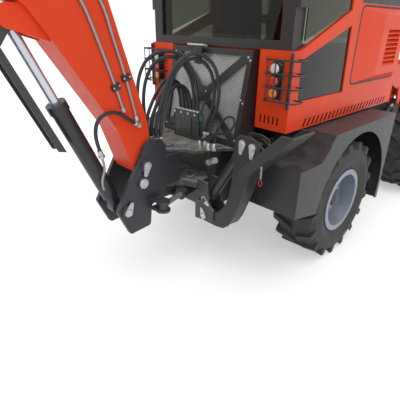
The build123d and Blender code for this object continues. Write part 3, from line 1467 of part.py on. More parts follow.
# Boom: deep box section that bends at its knee, slim at the tip, with a recess between the ears for the rod's eye
boom_length = boom_foot_x - boom_tip_x
boom_height = boom_tip_z - boom_foot_z
boom_points = [(boom_foot_x - s * boom_length, boom_foot_z + t * boom_height) for s, t in boom_outline_shares]
boom_nose_x = boom_foot_x - boom_nose_share * boom_length
dipper_ear_inner = dipper_cylinder[3] / 2 + run_gap
lug_inner = boom_cylinder[0] * gland_swell + run_gap
lug_root_x = boom_foot_x - boom_lug_root_share * boom_length
cylinder_base = (cylinder_foot_x, 0, cylinder_foot_z)
cylinder_eye = (boom_lug_x, 0, boom_lug_z)
bar_run = Vector(cylinder_eye) - Vector(cylinder_base)
bar_plane = Plane(
    origin=Vector(rear_axle_x, 0, 0) + Vector(cylinder_base), x_dir=bar_run, z_dir=(0, -1, 0)
)
bar_way = bar_run.normalized()
bar_top = (
    boom_lug_x - bar_way.X * 2 * lock_bar_height - bar_way.Z * lock_bar_offset,
    boom_lug_z - bar_way.Z * 2 * lock_bar_height + bar_way.X * lock_bar_offset,
)
bar_low = lock_bar_low_share * bar_run.length
bar_high = lock_bar_high_share * bar_run.length
bar_outline = [
    (bar_low, lock_bar_offset - lock_bar_plate), (bar_high, lock_bar_offset - lock_bar_plate),
    (bar_high, lock_bar_offset + lock_bar_height), (bar_low + lock_bar_height, lock_bar_offset + lock_bar_height),
]
bar_inside = [
    (bar_low - overrun, lock_bar_offset), (bar_high + overrun, lock_bar_offset),
    (bar_high + overrun, lock_bar_offset + 2 * lock_bar_height),
    (bar_low - overrun, lock_bar_offset + 2 * lock_bar_height),
]
with BuildPart() as boom:
    side_solid(boom_points, -boom_half, boom_half, boom_outline_rounds)
    for y_low, y_high in mirrored_spans(boom_nose_half, boom_half + overrun):
        block(
            boom_tip_x - boom_half - overrun, boom_nose_x, y_low, y_high, boom_tip_z - 3 * boom_half,
            boom_tip_z + 2 * boom_half, Mode.SUBTRACT,
        )
    for hole_x, hole_z in ((boom_foot_x, boom_foot_z), (boom_tip_x, boom_tip_z)):
        pin_solid(
            hole_x, hole_z, boom_pin_radius + fit_gap, -boom_half - overrun, boom_half + overrun, Mode.SUBTRACT
        )
    for y_low, y_high in mirrored_spans(lug_inner, lug_inner + ear_plate):
        pin_solid(boom_lug_x, boom_lug_z, boom_lug_radius, y_low, y_high)
        side_solid(
            [
                (boom_lug_x, boom_lug_z + boom_lug_radius), (boom_lug_x, boom_lug_z - boom_lug_radius),
                (lug_root_x - boom_lug_radius, boom_lug_z - 2 * boom_lug_radius), (lug_root_x, boom_lug_z + boom_lug_radius),
            ],
            y_low, y_high,
        )
    for y_low, y_high in mirrored_spans(dipper_ear_inner, dipper_ear_inner + ear_plate):
        pin_solid(dipper_cylinder_x, dipper_cylinder_z, boom_lug_radius, y_low, y_high)
        side_solid(
            [
                (dipper_cylinder_x - boom_lug_radius, dipper_cylinder_z),
                (dipper_cylinder_x - 1.5 * boom_lug_radius, dipper_cylinder_z - 3 * boom_lug_radius),
                (dipper_cylinder_x + 2 * boom_lug_radius, dipper_cylinder_z - 3 * boom_lug_radius),
                (dipper_cylinder_x + boom_lug_radius, dipper_cylinder_z),
            ],
            y_low, y_high,
        )
    pin_solid(
        dipper_cylinder_x, dipper_cylinder_z, dipper_cylinder[4], -dipper_ear_inner - ear_plate, dipper_ear_inner + ear_plate
    )
    boom_face_clearance = 2 * boom_cylinder[2] + run_gap
    pin_solid(boom_lug_x, boom_lug_z, boom_face_clearance, -lug_inner, lug_inner, Mode.SUBTRACT)
finish(boom.part, "boom")

# Boom cylinder, whose rod carries the channel that locks the boom for the road
with BuildPart() as boom_barrel:
    barrel_solid(cylinder_base, cylinder_eye, along_y, boom_cylinder, boom_barrel_share)
finish(boom_barrel.part, "boom_barrel")
with BuildPart() as boom_rod:
    piston_rod(cylinder_base, cylinder_eye, along_y, boom_cylinder, long_stroke_start_share)
    with BuildSketch(bar_plane.offset(-lock_bar_width / 2)) as bar_side:
        with BuildLine():
            Polyline(*bar_outline, close=True)
        make_face()
    extrude(bar_side.sketch, amount=lock_bar_width)
    with BuildSketch(bar_plane.offset(-lock_bar_width / 2 + lock_bar_plate)) as bar_hollow:
        with BuildLine():
            Polyline(*bar_inside, close=True)
        make_face()
    extrude(bar_hollow.sketch, amount=lock_bar_width - 2 * lock_bar_plate, mode=Mode.SUBTRACT)
    for y_low, y_high in mirrored_spans(boom_cylinder[3] / 2 - fit_gap, boom_cylinder[3] / 2 + ear_plate):
        link_solid((boom_lug_x, boom_lug_z), bar_top, lock_bar_height, y_low, y_high)
finish(boom_rod.part, "boom_rod")

# Dipper: slim box whose head straddles the boom's tip and carries the horn of its cylinder
dipper_length = boom_tip_z - tooth_pin_z
dipper_run = boom_tip_x - tooth_pin_x
dipper_points = [
    (tooth_pin_x + t * dipper_run + s * dipper_length, tooth_pin_z + t * dipper_length)
    for s, t in dipper_outline_shares
]
horn_x = boom_tip_x + horn_length * cos(radians(horn_angle))
horn_z = boom_tip_z + horn_length * sin(radians(horn_angle))
head_inner = boom_nose_half + dipper_head_gap
head_low_z = boom_tip_z - 3.6 * dipper_half
dipper_span = hypot(dipper_length, dipper_run)
dipper_up = (dipper_run / dipper_span, dipper_length / dipper_span)
guide_pin = (tooth_pin_x + link_height * dipper_up[0], tooth_pin_z + link_height * dipper_up[1])
link_reach = (link_length * cos(radians(link_angle)), link_length * sin(radians(link_angle)))
knuckle = (guide_pin[0] + link_reach[0], guide_pin[1] + link_reach[1])
scoop_link_pin = (tooth_pin_x + link_reach[0], tooth_pin_z + link_reach[1])
bucket_base = (
    tooth_pin_x + bucket_cylinder_share * dipper_run - bucket_cylinder_stand, 0,
    tooth_pin_z + bucket_cylinder_share * dipper_length,
)
bucket_ear_inner = bucket_cylinder[3] / 2 + run_gap
with BuildPart() as dipper:
    side_solid(dipper_points, -head_inner - dipper_head_plate, head_inner + dipper_head_plate, 2 * dipper_head_plate)
    plan_solid(
        rectangle(boom_tip_x - 4 * dipper_half, boom_tip_x + 4 * dipper_half, -head_inner, head_inner),
        head_low_z, boom_tip_z + 4 * dipper_half, mode=Mode.SUBTRACT,
    )
    block(
        tooth_pin_x - 2 * dipper_half, tooth_pin_x - link_pin_radius, -head_inner, head_inner,
        tooth_pin_z - dipper_half, tooth_pin_z + 2 * dipper_half, Mode.SUBTRACT,
    )
    for y_low, y_high in mirrored_spans(head_inner, head_inner + dipper_head_plate):
        pin_solid(boom_tip_x, boom_tip_z, 1.3 * dipper_half, y_low, y_high)
        pin_solid(horn_x, horn_z, boss_radius, y_low, y_high)
        side_solid(
            [
                (boom_tip_x - 1.1 * dipper_half, boom_tip_z), (boom_tip_x + 1.1 * dipper_half, boom_tip_z),
                (horn_x + 0.8 * boss_radius, horn_z), (horn_x - 0.8 * boss_radius, horn_z),
            ],
            y_low, y_high,
        )
    pin_solid(boom_tip_x, boom_tip_z, boom_pin_radius, -head_inner, head_inner)
    for y_low, y_high in mirrored_spans(bucket_ear_inner, bucket_ear_inner + link_plate):
        pin_solid(bucket_base[0], bucket_base[2], boss_radius, y_low, y_high)
        side_solid(
            [
                (bucket_base[0], bucket_base[2] + boss_radius), (bucket_base[0], bucket_base[2] - boss_radius),
                (bucket_base[0] + bucket_cylinder_stand, bucket_base[2] - 2 * boss_radius),
                (bucket_base[0] + bucket_cylinder_stand, bucket_base[2] + boss_radius),
            ],
            y_low, y_high,
        )
    pin_solid(
        bucket_base[0], bucket_base[2], bucket_cylinder[4], -bucket_ear_inner - link_plate, bucket_ear_inner + link_plate
    )
    pin_solid(
        guide_pin[0], guide_pin[1], link_pin_radius,
        -head_inner - dipper_head_plate - link_plate - run_gap, head_inner + dipper_head_plate + link_plate + run_gap,
    )
    pin_solid(
        tooth_pin_x, tooth_pin_z, link_pin_radius,
        -head_inner - dipper_head_plate - link_plate - run_gap, head_inner + dipper_head_plate + link_plate + run_gap,
    )
finish(dipper.part, "dipper")

# Dipper cylinder on top of the boom
dipper_base = (dipper_cylinder_x, 0, dipper_cylinder_z)
dipper_eye = (horn_x, 0, horn_z)
with BuildPart() as dipper_barrel:
    barrel_solid(dipper_base, dipper_eye, along_y, dipper_cylinder, dipper_barrel_share)
finish(dipper_barrel.part, "dipper_barrel")
with BuildPart() as dipper_rod:
    piston_rod(dipper_base, dipper_eye, along_y, dipper_cylinder, rod_start_share)
finish(dipper_rod.part, "dipper_rod")

# Bucket cylinder behind the dipper
bucket_eye = (knuckle[0], 0, knuckle[1])
with BuildPart() as bucket_barrel:
    barrel_solid(bucket_base, bucket_eye, along_y, bucket_cylinder, bucket_barrel_share)
finish(bucket_barrel.part, "bucket_barrel")
with BuildPart() as bucket_rod:
    piston_rod(bucket_base, bucket_eye, along_y, bucket_cylinder, long_stroke_start_share)
finish(bucket_rod.part, "bucket_rod")

# Guide links outside the dipper, and push links from their ends to the bucket
guide_y = head_inner + dipper_head_plate + run_gap
push_y = bucket_cylinder[3] / 2 + run_gap
with BuildPart() as guide_link:
    for y_low, y_high in mirrored_spans(guide_y, guide_y + link_plate):
        link_solid(guide_pin, knuckle, link_round, y_low, y_high)
        pin_solid(*guide_pin, link_pin_radius + fit_gap, y_low - overrun, y_high + overrun, Mode.SUBTRACT)
    for y_low, y_high in mirrored_spans(push_y, guide_y + link_plate):
        pin_solid(*knuckle, link_pin_radius, y_low, y_high)
finish(guide_link.part, "guide_link")

with BuildPart() as push_link:
    for y_low, y_high in mirrored_spans(push_y, push_y + link_plate):
        link_solid(knuckle, scoop_link_pin, link_round, y_low, y_high)
        for hole in (knuckle, scoop_link_pin):
            pin_solid(*hole, link_pin_radius + fit_gap, y_low - overrun, y_high + overrun, Mode.SUBTRACT)
finish(push_link.part, "push_link")

# Digging bucket: curved shell with ears for its two pins, side cutters and teeth
mouth_way = Vector(-link_reach[0], 0, -link_reach[1]).normalized()
depth_way = Vector(mouth_way.Z, 0, -mouth_way.X)
hinge_place = Vector(tooth_pin_x, 0, tooth_pin_z)


def dig_place(mouth_share, depth_share):
    """Place in the bucket's section, from its hinge pin."""
    place = hinge_place + mouth_way * (mouth_share * dig_depth) + depth_way * (depth_share * dig_depth)
    return (place.X, place.Z)


dig_points = [dig_place(s, t) for s, t in dig_section_shares]
ear_points = [dig_place(s, t) for s, t in dig_ear_shares]
with BuildPart() as dig_bucket:
    side_solid(dig_points, -dig_width / 2, dig_width / 2, dig_rounds)
    mouth_axis = Axis((rear_axle_x + tooth_pin_x, 0, tooth_pin_z), mouth_way)
    mouth_face = dig_bucket.faces().filter_by(GeomType.PLANE).sort_by(mouth_axis)[-1]
    offset(amount=-dig_wall, openings=mouth_face)
    for y_low, y_high in mirrored_spans(guide_y, guide_y + link_plate):
        side_solid(ear_points, y_low, y_high, dig_ear_round)
        pin_solid(
            tooth_pin_x, tooth_pin_z, link_pin_radius + fit_gap, y_low - overrun, y_high + overrun, Mode.SUBTRACT
        )
    for y_low, y_high in mirrored_spans(push_y, guide_y + link_plate):
        pin_solid(*scoop_link_pin, link_pin_radius, y_low, y_high)
    for n in range(tooth_count):
        tooth_y = (n + 0.5) * dig_width / tooth_count - dig_width / 2
        side_solid(
            [
                dig_place(dig_section_shares[-1][0] - tooth_root_share, dig_section_shares[-1][1] + fit_gap / dig_depth),
                dig_place(dig_section_shares[-1][0] - tooth_root_share, dig_section_shares[-1][1] - tooth_height / dig_depth),
                dig_place(dig_section_shares[-1][0] + tooth_length / dig_depth, dig_section_shares[-1][1] - dig_wall / dig_depth),
                dig_place(dig_section_shares[-1][0] + tooth_length / dig_depth, dig_section_shares[-1][1]),
            ],
            tooth_y - tooth_width / 2, tooth_y + tooth_width / 2,
        )
finish(dig_bucket.part, "dig_bucket")

# Stabilizers: leg of two plates and an outer web, foot on a pin, cylinder between the plates
leg_y_length = leg_foot_y - leg_pivot_y
leg_z_length = leg_foot_z - leg_pivot_z
foot_way = Vector(0, cos(radians(foot_angle)), sin(radians(foot_angle)))
foot_down = Vector(0, foot_way.Z, -foot_way.Y)
for stab_side, side in (("left", 1), ("right", -1)):
    leg_points = [
        (side * y, z) for y, z in spread(leg_outline_shares, leg_pivot_y, leg_y_length, leg_pivot_z, leg_z_length)
    ]
    web_points = [
        (side * y, z) for y, z in spread(leg_web_shares, leg_pivot_y, leg_y_length, leg_pivot_z, leg_z_length)
    ]
    with BuildPart() as leg:
        for x_low, x_high in (
            (stab_x - leg_gap / 2 - leg_plate, stab_x - leg_gap / 2), (stab_x + leg_gap / 2, stab_x + leg_gap / 2 + leg_plate)
        ):
            cross_solid(leg_points, x_low, x_high, leg_rounds)
            long_pin(
                x_low - overrun, x_high + overrun, side * leg_pivot_y, leg_pivot_z, stab_pin_radius + fit_gap, Mode.SUBTRACT
            )
        cross_solid(web_points, stab_x - leg_gap / 2, stab_x + leg_gap / 2)
        long_pin(
            stab_x - leg_gap / 2 - leg_plate - run_gap, stab_x + leg_gap / 2 + leg_plate + run_gap,
            side * leg_foot_y, leg_foot_z, stab_pin_radius,
        )
    finish(leg.part, f"stabilizer_leg_{stab_side}")

    foot_pin = Vector(rear_axle_x + stab_x, side * leg_foot_y, leg_foot_z)
    foot_plane = Plane(
        origin=foot_pin, x_dir=(0, side * foot_way.Y, foot_way.Z),
        z_dir=(side, 0, 0),
    )
    pad_low = -foot_start_share * foot_length
    with BuildPart() as foot:
        with BuildSketch(foot_plane.offset(-foot_width / 2)) as pad:
            with BuildLine():
                Polyline(
                    (pad_low, -foot_drop), (pad_low + foot_length, -foot_drop),
                    (pad_low + foot_length, -foot_drop - foot_plate), (pad_low, -foot_drop - foot_plate), close=True,
                )
            make_face()
        extrude(pad.sketch, amount=foot_width)
        for edge_place in (-foot_width / 2, foot_width / 2 - foot_plate):
            with BuildSketch(foot_plane.offset(edge_place)) as flange:
                with BuildLine():
                    Polyline(
                        (pad_low, -foot_drop), (pad_low + foot_flange, -foot_drop + foot_flange),
                        (pad_low + foot_length - foot_flange, -foot_drop + foot_flange),
                        (pad_low + foot_length, -foot_drop), close=True,
                    )
                make_face()
            extrude(flange.sketch, amount=foot_plate)
        for edge_place in (-leg_gap / 2 + run_gap, leg_gap / 2 - run_gap - leg_plate):
            with BuildSketch(foot_plane.offset(edge_place)) as ear:
                with BuildLine():
                    Polyline(
                        (-foot_ear_radius, 0), (foot_ear_radius, 0), (1.6 * foot_ear_radius, -foot_drop),
                        (-1.6 * foot_ear_radius, -foot_drop), close=True,
                    )
                make_face()
                Circle(foot_ear_radius)
                Circle(stab_pin_radius + fit_gap, mode=Mode.SUBTRACT)
            extrude(ear.sketch, amount=leg_plate)
    finish(foot.part, f"stabilizer_foot_{stab_side}")

    stab_base = (stab_x, side * stab_cylinder_y, stab_cylinder_z)
    stab_eye = (stab_x, side * leg_rod_y, leg_rod_z)
    with BuildPart() as stab_barrel:
        barrel_solid(stab_base, stab_eye, along_x, stab_cylinder, stab_barrel_share)
    finish(stab_barrel.part, f"stabilizer_barrel_{stab_side}")
    with BuildPart() as stab_rod:
        piston_rod(stab_base, stab_eye, along_x, stab_cylinder, rod_start_share)
    finish(stab_rod.part, f"stabilizer_rod_{stab_side}")

# Front frame: rails, tongue of the steering pivot, loader towers and the shaft of the lift cylinders
front_rail_points = [
    (front_rear_x, front_top_z), (front_nose_x, front_top_z), (front_nose_x, front_bottom_z),
    (wheelbase + seat_front_x + seat_slope, front_bottom_z), (wheelbase + seat_front_x, axle_seat_z),
    (wheelbase - seat_front_x, axle_seat_z), (wheelbase - seat_front_x - seat_slope, front_bottom_z),
    (front_rear_x, front_bottom_z),
]
tongue_levels = (fork_levels[0] + fork_plate + run_gap, fork_levels[1] - fork_plate - run_gap)
steer_ear_x = steer_eye_x - steer_cylinder[2]
with BuildPart() as front_frame:
    for y_low, y_high in mirrored_spans(front_rail_y - plate, front_rail_y):
        side_solid(front_rail_points, y_low, y_high)
    for level in tongue_levels:
        plan_solid(
            [
                (tongue_root_x, -front_rail_y + plate), (front_rear_x, -front_rail_y + plate),
                (pivot_x, -fork_nose_radius), (pivot_x, fork_nose_radius),
                (front_rear_x, front_rail_y - plate), (tongue_root_x, front_rail_y - plate),
            ],
            level, level + fork_plate,
        )
        upright_solid(pivot_x, 0, fork_nose_radius, level, level + fork_plate)
    for pin_low, pin_high in (
        (fork_levels[0] - keeper_thickness, tongue_levels[0] + fork_plate + keeper_thickness),
        (tongue_levels[1] - keeper_thickness, fork_levels[1] + fork_plate + keeper_thickness),
    ):
        upright_solid(pivot_x, 0, pivot_pin_radius, pin_low, pin_high)
    block(
        tongue_root_x, tongue_root_x + plate, -front_rail_y + plate, front_rail_y - plate,
        tongue_levels[0], front_top_z,
    )
    block(front_nose_x - plate, front_nose_x, -front_rail_y, front_rail_y, axle_seat_z, front_top_z)
    side_solid(
        [
            (hood_rear_x, front_top_z - hood_drop), (hood_front_x, front_top_z - hood_drop),
            (hood_front_x, hood_top_z - hood_drop), (hood_front_x - 3 * hood_drop, hood_top_z),
            (hood_rear_x, hood_top_z),
        ],
        -hood_half, hood_half, (0, hood_round, hood_round, hood_round, hood_round),
    )
    tower_points = spread(
        tower_outline_shares, tower_rear_x, tower_length, tower_bottom_z, arm_pivot_z - tower_bottom_z
    )
    for y_low, y_high in mirrored_spans(tower_y, tower_y + tower_plate):
        side_solid(tower_points, y_low, y_high, tower_rounds)
    for y_low, y_high in mirrored_spans(tower_y, arm_inner_y + arm_thickness + keeper_thickness):
        pin_solid(arm_pivot_x, arm_pivot_z, arm_pin_radius, y_low, y_high)
    for y_low, y_high in mirrored_spans(front_rail_y - plate, tower_y + tower_plate):
        block(
            tower_rear_x, tower_rear_x + tower_length, y_low, y_high, tower_bottom_z, tower_bottom_z + plate,
        )
        block(
            tower_rear_x + plate, tower_rear_x + 2 * plate, y_low, y_high, tower_bottom_z, hood_top_z,
        )
    for side in (-1, 1):
        lug_near, lug_far = sorted((side * (front_rail_y - plate / 2), side * (front_tie_y + tie_lug_half)))
        block(
            front_tie_x - tie_lug_half, front_tie_x + tie_lug_half, lug_near, lug_far,
            front_bottom_z, front_bottom_z + tie_lug_plate,
        )
        upright_solid(
            front_tie_x, side * front_tie_y, tie_radius, front_bottom_z - overrun,
            front_bottom_z + tie_lug_plate + overrun, Mode.SUBTRACT,
        )
    lift_y = arm_inner_y + arm_thickness / 2
    pin_solid(
        lift_base_x, lift_base_z, lift_shaft_radius,
        -lift_y + lift_cylinder[3] / 2 + run_gap, lift_y - lift_cylinder[3] / 2 - run_gap,
    )
    pin_solid(lift_base_x, lift_base_z, lift_cylinder[4], -lift_y - lift_cylinder[3], lift_y + lift_cylinder[3])
    for low, high in (
        (steer_z - steer_ear_low - plate, steer_z - steer_ear_low), (steer_z + steer_ear_low, steer_z + steer_ear_low + plate)
    ):
        block(
            steer_ear_x, tongue_root_x, steer_eye_y - steer_cylinder[2], steer_eye_y + steer_cylinder[2], low, high
        )
finish(front_frame.part, "front_frame")

# Loader arms: cranked pair with a cross tube, lugs for the lift cylinders and pins for the tilt cylinders
arm_points = spread(
    arm_outline_shares, arm_pivot_x, bucket_pin_x - arm_pivot_x, bucket_pin_z, arm_pivot_z - bucket_pin_z
)
lift_ear_inner = lift_cylinder[3] / 2 + run_gap
with BuildPart() as loader_arms:
    for y_low, y_high in mirrored_spans(arm_inner_y, arm_inner_y + arm_thickness):
        side_solid(arm_points, y_low, y_high, arm_outline_rounds)
        for hole_x, hole_z in ((arm_pivot_x, arm_pivot_z), (bucket_pin_x, bucket_pin_z)):
            pin_solid(hole_x, hole_z, arm_pin_radius + fit_gap, y_low - overrun, y_high + overrun, Mode.SUBTRACT)
        mid = (y_low + y_high) / 2
        for ear_low, ear_high in (
            (mid - lift_ear_inner - ear_plate, mid - lift_ear_inner), (mid + lift_ear_inner, mid + lift_ear_inner + ear_plate)
        ):
            pin_solid(lift_eye_x, lift_eye_z, lift_cylinder[2], ear_low, ear_high)
            side_solid(
                [
                    (lift_eye_x - lift_cylinder[2], lift_eye_z), (lift_eye_x + lift_cylinder[2], lift_eye_z),
                    (lift_eye_x + 2.2 * lift_cylinder[2], lift_eye_z + lift_ear_rise),
                    (lift_eye_x - 2.2 * lift_cylinder[2], lift_eye_z + lift_ear_rise),
                ],
                ear_low, ear_high,
            )
    pin_solid(arm_tube_x, arm_tube_z, arm_tube_radius, -arm_inner_y - plate, arm_inner_y + plate)
    for y_low, y_high in mirrored_spans(tilt_y - tilt_cylinder[3] / 2, arm_inner_y + plate):
        pin_solid(tilt_base_x, tilt_base_z, tilt_cylinder[4], y_low, y_high)
    for y_low, y_high in mirrored_spans(tilt_y + tilt_cylinder[3] / 2 + run_gap, arm_inner_y + arm_thickness):
        pin_solid(tilt_base_x, tilt_base_z, 1.5 * tilt_cylinder[2], y_low, y_high)
finish(loader_arms.part, "loader_arms")

# Loader bucket: curved shell with a cutting edge and ears behind
scoop_points = spread(scoop_section_shares, scoop_rear_x, scoop_length, scoop_bottom_z, scoop_height)
scoop_ear_points = spread(scoop_ear_shares, bucket_pin_x, scoop_rear_x - bucket_pin_x, bucket_pin_z, tilt_eye_z - bucket_pin_z)
with BuildPart() as loader_bucket:
    side_solid(scoop_points, -scoop_half, scoop_half, scoop_rounds)
    mouth = loader_bucket.faces().filter_by(GeomType.PLANE).sort_by(SortBy.AREA)[-1]
    offset(amount=-scoop_wall, openings=mouth)
    edge_x = scoop_rear_x + scoop_length
    block(
        edge_x - edge_depth, edge_x + edge_depth / 4, -scoop_half, scoop_half,
        scoop_bottom_z - edge_thickness + scoop_wall, scoop_bottom_z + fit_gap,
    )
    for inner, outer in (
        (tilt_y - tilt_cylinder[3] / 2 - run_gap - scoop_ear, tilt_y - tilt_cylinder[3] / 2 - run_gap),
        (tilt_y + tilt_cylinder[3] / 2 + run_gap, arm_inner_y - scoop_ear_gap),
        (arm_inner_y + arm_thickness + scoop_ear_gap, arm_inner_y + arm_thickness + scoop_ear_gap + scoop_ear),
    ):
        for y_low, y_high in mirrored_spans(inner, outer):
            side_solid(scoop_ear_points, y_low, y_high, scoop_ear_rounds)
    for y_low, y_high in mirrored_spans(
        tilt_y + tilt_cylinder[3] / 2 + run_gap, arm_inner_y + arm_thickness + scoop_ear_gap + scoop_ear
    ):
        pin_solid(bucket_pin_x, bucket_pin_z, arm_pin_radius, y_low, y_high)
finish(loader_bucket.part, "loader_bucket")

# Lift and tilt cylinders, a pair of each
with BuildPart() as lift_barrels:
    for side in (-1, 1):
        barrel_solid(
            (lift_base_x, side * lift_y, lift_base_z), (lift_eye_x, side * lift_y, lift_eye_z),
            along_y, lift_cylinder, lift_barrel_share,
        )
finish(lift_barrels.part, "lift_barrels")
with BuildPart() as lift_rods:
    for side in (-1, 1):
        piston_rod(
            (lift_base_x, side * lift_y, lift_base_z), (lift_eye_x, side * lift_y, lift_eye_z),
            along_y, lift_cylinder, lift_rod_share,
        )
finish(lift_rods.part, "lift_rods")
with BuildPart() as tilt_barrels:
    for side in (-1, 1):
        barrel_solid(
            (tilt_base_x, side * tilt_y, tilt_base_z), (tilt_eye_x, side * tilt_y, tilt_eye_z),
            along_y, tilt_cylinder, tilt_barrel_share,
        )
finish(tilt_barrels.part, "tilt_barrels")
with BuildPart() as tilt_rods:
    for side in (-1, 1):
        piston_rod(
            (tilt_base_x, side * tilt_y, tilt_base_z), (tilt_eye_x, side * tilt_y, tilt_eye_z),
            along_y, tilt_cylinder, rod_start_share,
        )
finish(tilt_rods.part, "tilt_rods")

# Steering cylinder between the two halves
steer_base = (steer_base_x, steer_base_y, steer_z)
steer_eye = (steer_eye_x, steer_eye_y, steer_z)
with BuildPart() as steer_barrel:
    barrel_solid(steer_base, steer_eye, along_z, steer_cylinder, steer_barrel_share)
finish(steer_barrel.part, "steer_barrel")
with BuildPart() as steer_rod:
    piston_rod(steer_base, steer_eye, along_z, steer_cylinder, rod_start_share)
finish(steer_rod.part, "steer_rod")
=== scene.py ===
from math import cos, exp, pi, radians, sin

import bmesh
import bpy
from mathutils import Matrix, Vector


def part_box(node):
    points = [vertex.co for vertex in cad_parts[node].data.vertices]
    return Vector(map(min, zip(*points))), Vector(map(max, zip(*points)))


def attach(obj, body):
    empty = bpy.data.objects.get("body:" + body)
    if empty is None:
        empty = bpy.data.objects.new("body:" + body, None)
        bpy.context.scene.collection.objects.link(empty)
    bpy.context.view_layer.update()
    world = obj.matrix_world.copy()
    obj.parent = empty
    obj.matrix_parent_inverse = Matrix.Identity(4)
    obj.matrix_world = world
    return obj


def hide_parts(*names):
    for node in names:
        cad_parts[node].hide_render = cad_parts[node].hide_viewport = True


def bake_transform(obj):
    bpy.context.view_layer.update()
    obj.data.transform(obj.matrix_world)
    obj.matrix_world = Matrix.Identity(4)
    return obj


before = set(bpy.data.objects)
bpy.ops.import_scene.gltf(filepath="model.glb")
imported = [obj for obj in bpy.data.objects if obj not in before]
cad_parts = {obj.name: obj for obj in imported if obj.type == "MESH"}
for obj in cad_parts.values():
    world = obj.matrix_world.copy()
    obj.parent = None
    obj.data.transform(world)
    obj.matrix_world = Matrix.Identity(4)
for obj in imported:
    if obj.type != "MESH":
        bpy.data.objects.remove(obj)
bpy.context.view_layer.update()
bpy.context.scene.view_settings.view_transform = "Standard"

# The studio: a pale floor that keeps the machine's shadow, soft lamps overhead and a camera
# behind the right rear corner, at the height of a person's raised arms.


def wire(tree, kind, settings=None, **props):
    """A shader node with its properties set and its sockets filled by a value or by another node's output."""
    node = tree.nodes.new(kind)
    for prop, value in props.items():
        setattr(node, prop, value)
    for socket, value in (settings or {}).items():
        if isinstance(value, bpy.types.NodeSocket):
            tree.links.new(value, node.inputs[socket])
        else:
            node.inputs[socket].default_value = value
    return node


def empty_material(name):
    """A material with nothing in it but its output."""
    material = bpy.data.materials.new(name)
    material.use_nodes = True
    material.node_tree.nodes.clear()
    output = material.node_tree.nodes.new("ShaderNodeOutputMaterial")
    return material, material.node_tree, output


def camera_sees(tree):
    """1 for rays that show the background: straight from the camera, in a gloss or through glass."""
    path = wire(tree, "ShaderNodeLightPath").outputs
    seen = path["Is Camera Ray"]
    for kind in ("Is Glossy Ray", "Is Transmission Ray"):
        seen = wire(tree, "ShaderNodeMath", {0: seen, 1: path[kind]}, operation="MAXIMUM").outputs[0]
    return seen


floor_reach = 60
floor_height = -0.004
floor_corners = [(x * floor_reach, y * floor_reach, floor_height)
                 for x, y in ((-1, -1), (1, -1), (1, 1), (-1, 1))]
floor_mesh = bpy.data.meshes.new("studio_floor")
floor_mesh.from_pydata(floor_corners, [], [(0, 1, 2, 3)])
floor = bpy.data.objects.new("studio_floor", floor_mesh)
bpy.context.scene.collection.objects.link(floor)
floor_paint, tree, output = empty_material("floor_paint")
matt = wire(tree, "ShaderNodeBsdfDiffuse", {"Color": (0.80, 0.80, 0.80, 1)})
glow = wire(tree, "ShaderNodeEmission", {"Color": (1, 1, 1, 1), "Strength": 0.42})
shown = wire(tree, "ShaderNodeMixShader", {0: camera_sees(tree), 2: glow.outputs[0]})
both = wire(tree, "ShaderNodeAddShader", {0: matt.outputs[0], 1: shown.outputs[0]})
tree.links.new(both.outputs[0], output.inputs["Surface"])
floor_mesh.materials.append(floor_paint)

world = bpy.data.worlds.new("studio_air")
world.use_nodes = True
bpy.context.scene.world = world
tree = world.node_tree
tree.nodes.clear()
air = wire(tree, "ShaderNodeBackground", {"Color": (0.96, 0.98, 1.0, 1), "Strength": 0.80})
white = wire(tree, "ShaderNodeBackground", {"Color": (1, 1, 1, 1), "Strength": 1.0})
mixed = wire(tree, "ShaderNodeMixShader", {0: camera_sees(tree), 1: air.outputs[0], 2: white.outputs[0]})
tree.links.new(mixed.outputs[0], wire(tree, "ShaderNodeOutputWorld").inputs["Surface"])


def lamp(name, strength, spread, aim):
    """A soft distant lamp that shines along a direction."""
    light = bpy.data.lights.new(name, "SUN")
    light.energy = strength
    light.angle = radians(spread)
    holder = bpy.data.objects.new(name, light)
    holder.rotation_euler = Vector(aim).to_track_quat("-Z", "Y").to_euler()
    bpy.context.scene.collection.objects.link(holder)


lamp("lamp_overhead", 0.75, 40, (0.35, 0.25, -0.9))
lamp("lamp_from_behind_right", 0.30, 50, (0.6, 0.75, -0.25))

view_place = (-3.2122, -2.1957, 1.975)
view_yaw = 0.7892
view_pitch = -0.4458
view_roll = 0.0148
ahead = Vector((cos(view_yaw) * cos(view_pitch), sin(view_yaw) * cos(view_pitch), sin(view_pitch)))
level = Vector((sin(view_yaw), -cos(view_yaw), 0))
upward = level.cross(ahead)
side = level * cos(view_roll) + upward * sin(view_roll)
top = upward * cos(view_roll) - level * sin(view_roll)
lens = bpy.data.cameras.new("camera")
lens.lens = 33.43
lens.sensor_width = 36
lens.clip_end = 200
camera = bpy.data.objects.new("camera", lens)
camera.matrix_world = Matrix.Translation(view_place) @ Matrix((side, top, -ahead)).transposed().to_4x4()
bpy.context.scene.collection.objects.link(camera)
bpy.context.scene.camera = camera

# The hydraulic hoses: wire-braided rubber hose, 26 mm outside, with crimped steel ferrules. Eight run
# from the bulkhead on the swing post up and over to the valve bank, in a loop on each side of a bundle.
rear_axle = -153
ahead_way, left_way, up_way = Vector((1, 0, 0)), Vector((0, 1, 0)), Vector((0, 0, 1))


def at(x, y, z):
    """A place in metres from millimetres, with x measured from the rear axle."""
    return Vector(((rear_axle + x) / 1000, y / 1000, z / 1000))


def mixed_colour(tree, share, first, second):
    """Two colours mixed by a share."""
    mix = wire(tree, "ShaderNodeMix", {0: share}, data_type="RGBA")
    for socket, value in ((6, first), (7, second)):
        if isinstance(value, bpy.types.NodeSocket):
            tree.links.new(value, mix.inputs[socket])
        else:
            mix.inputs[socket].default_value = (*value, 1)
    return mix.outputs[2]


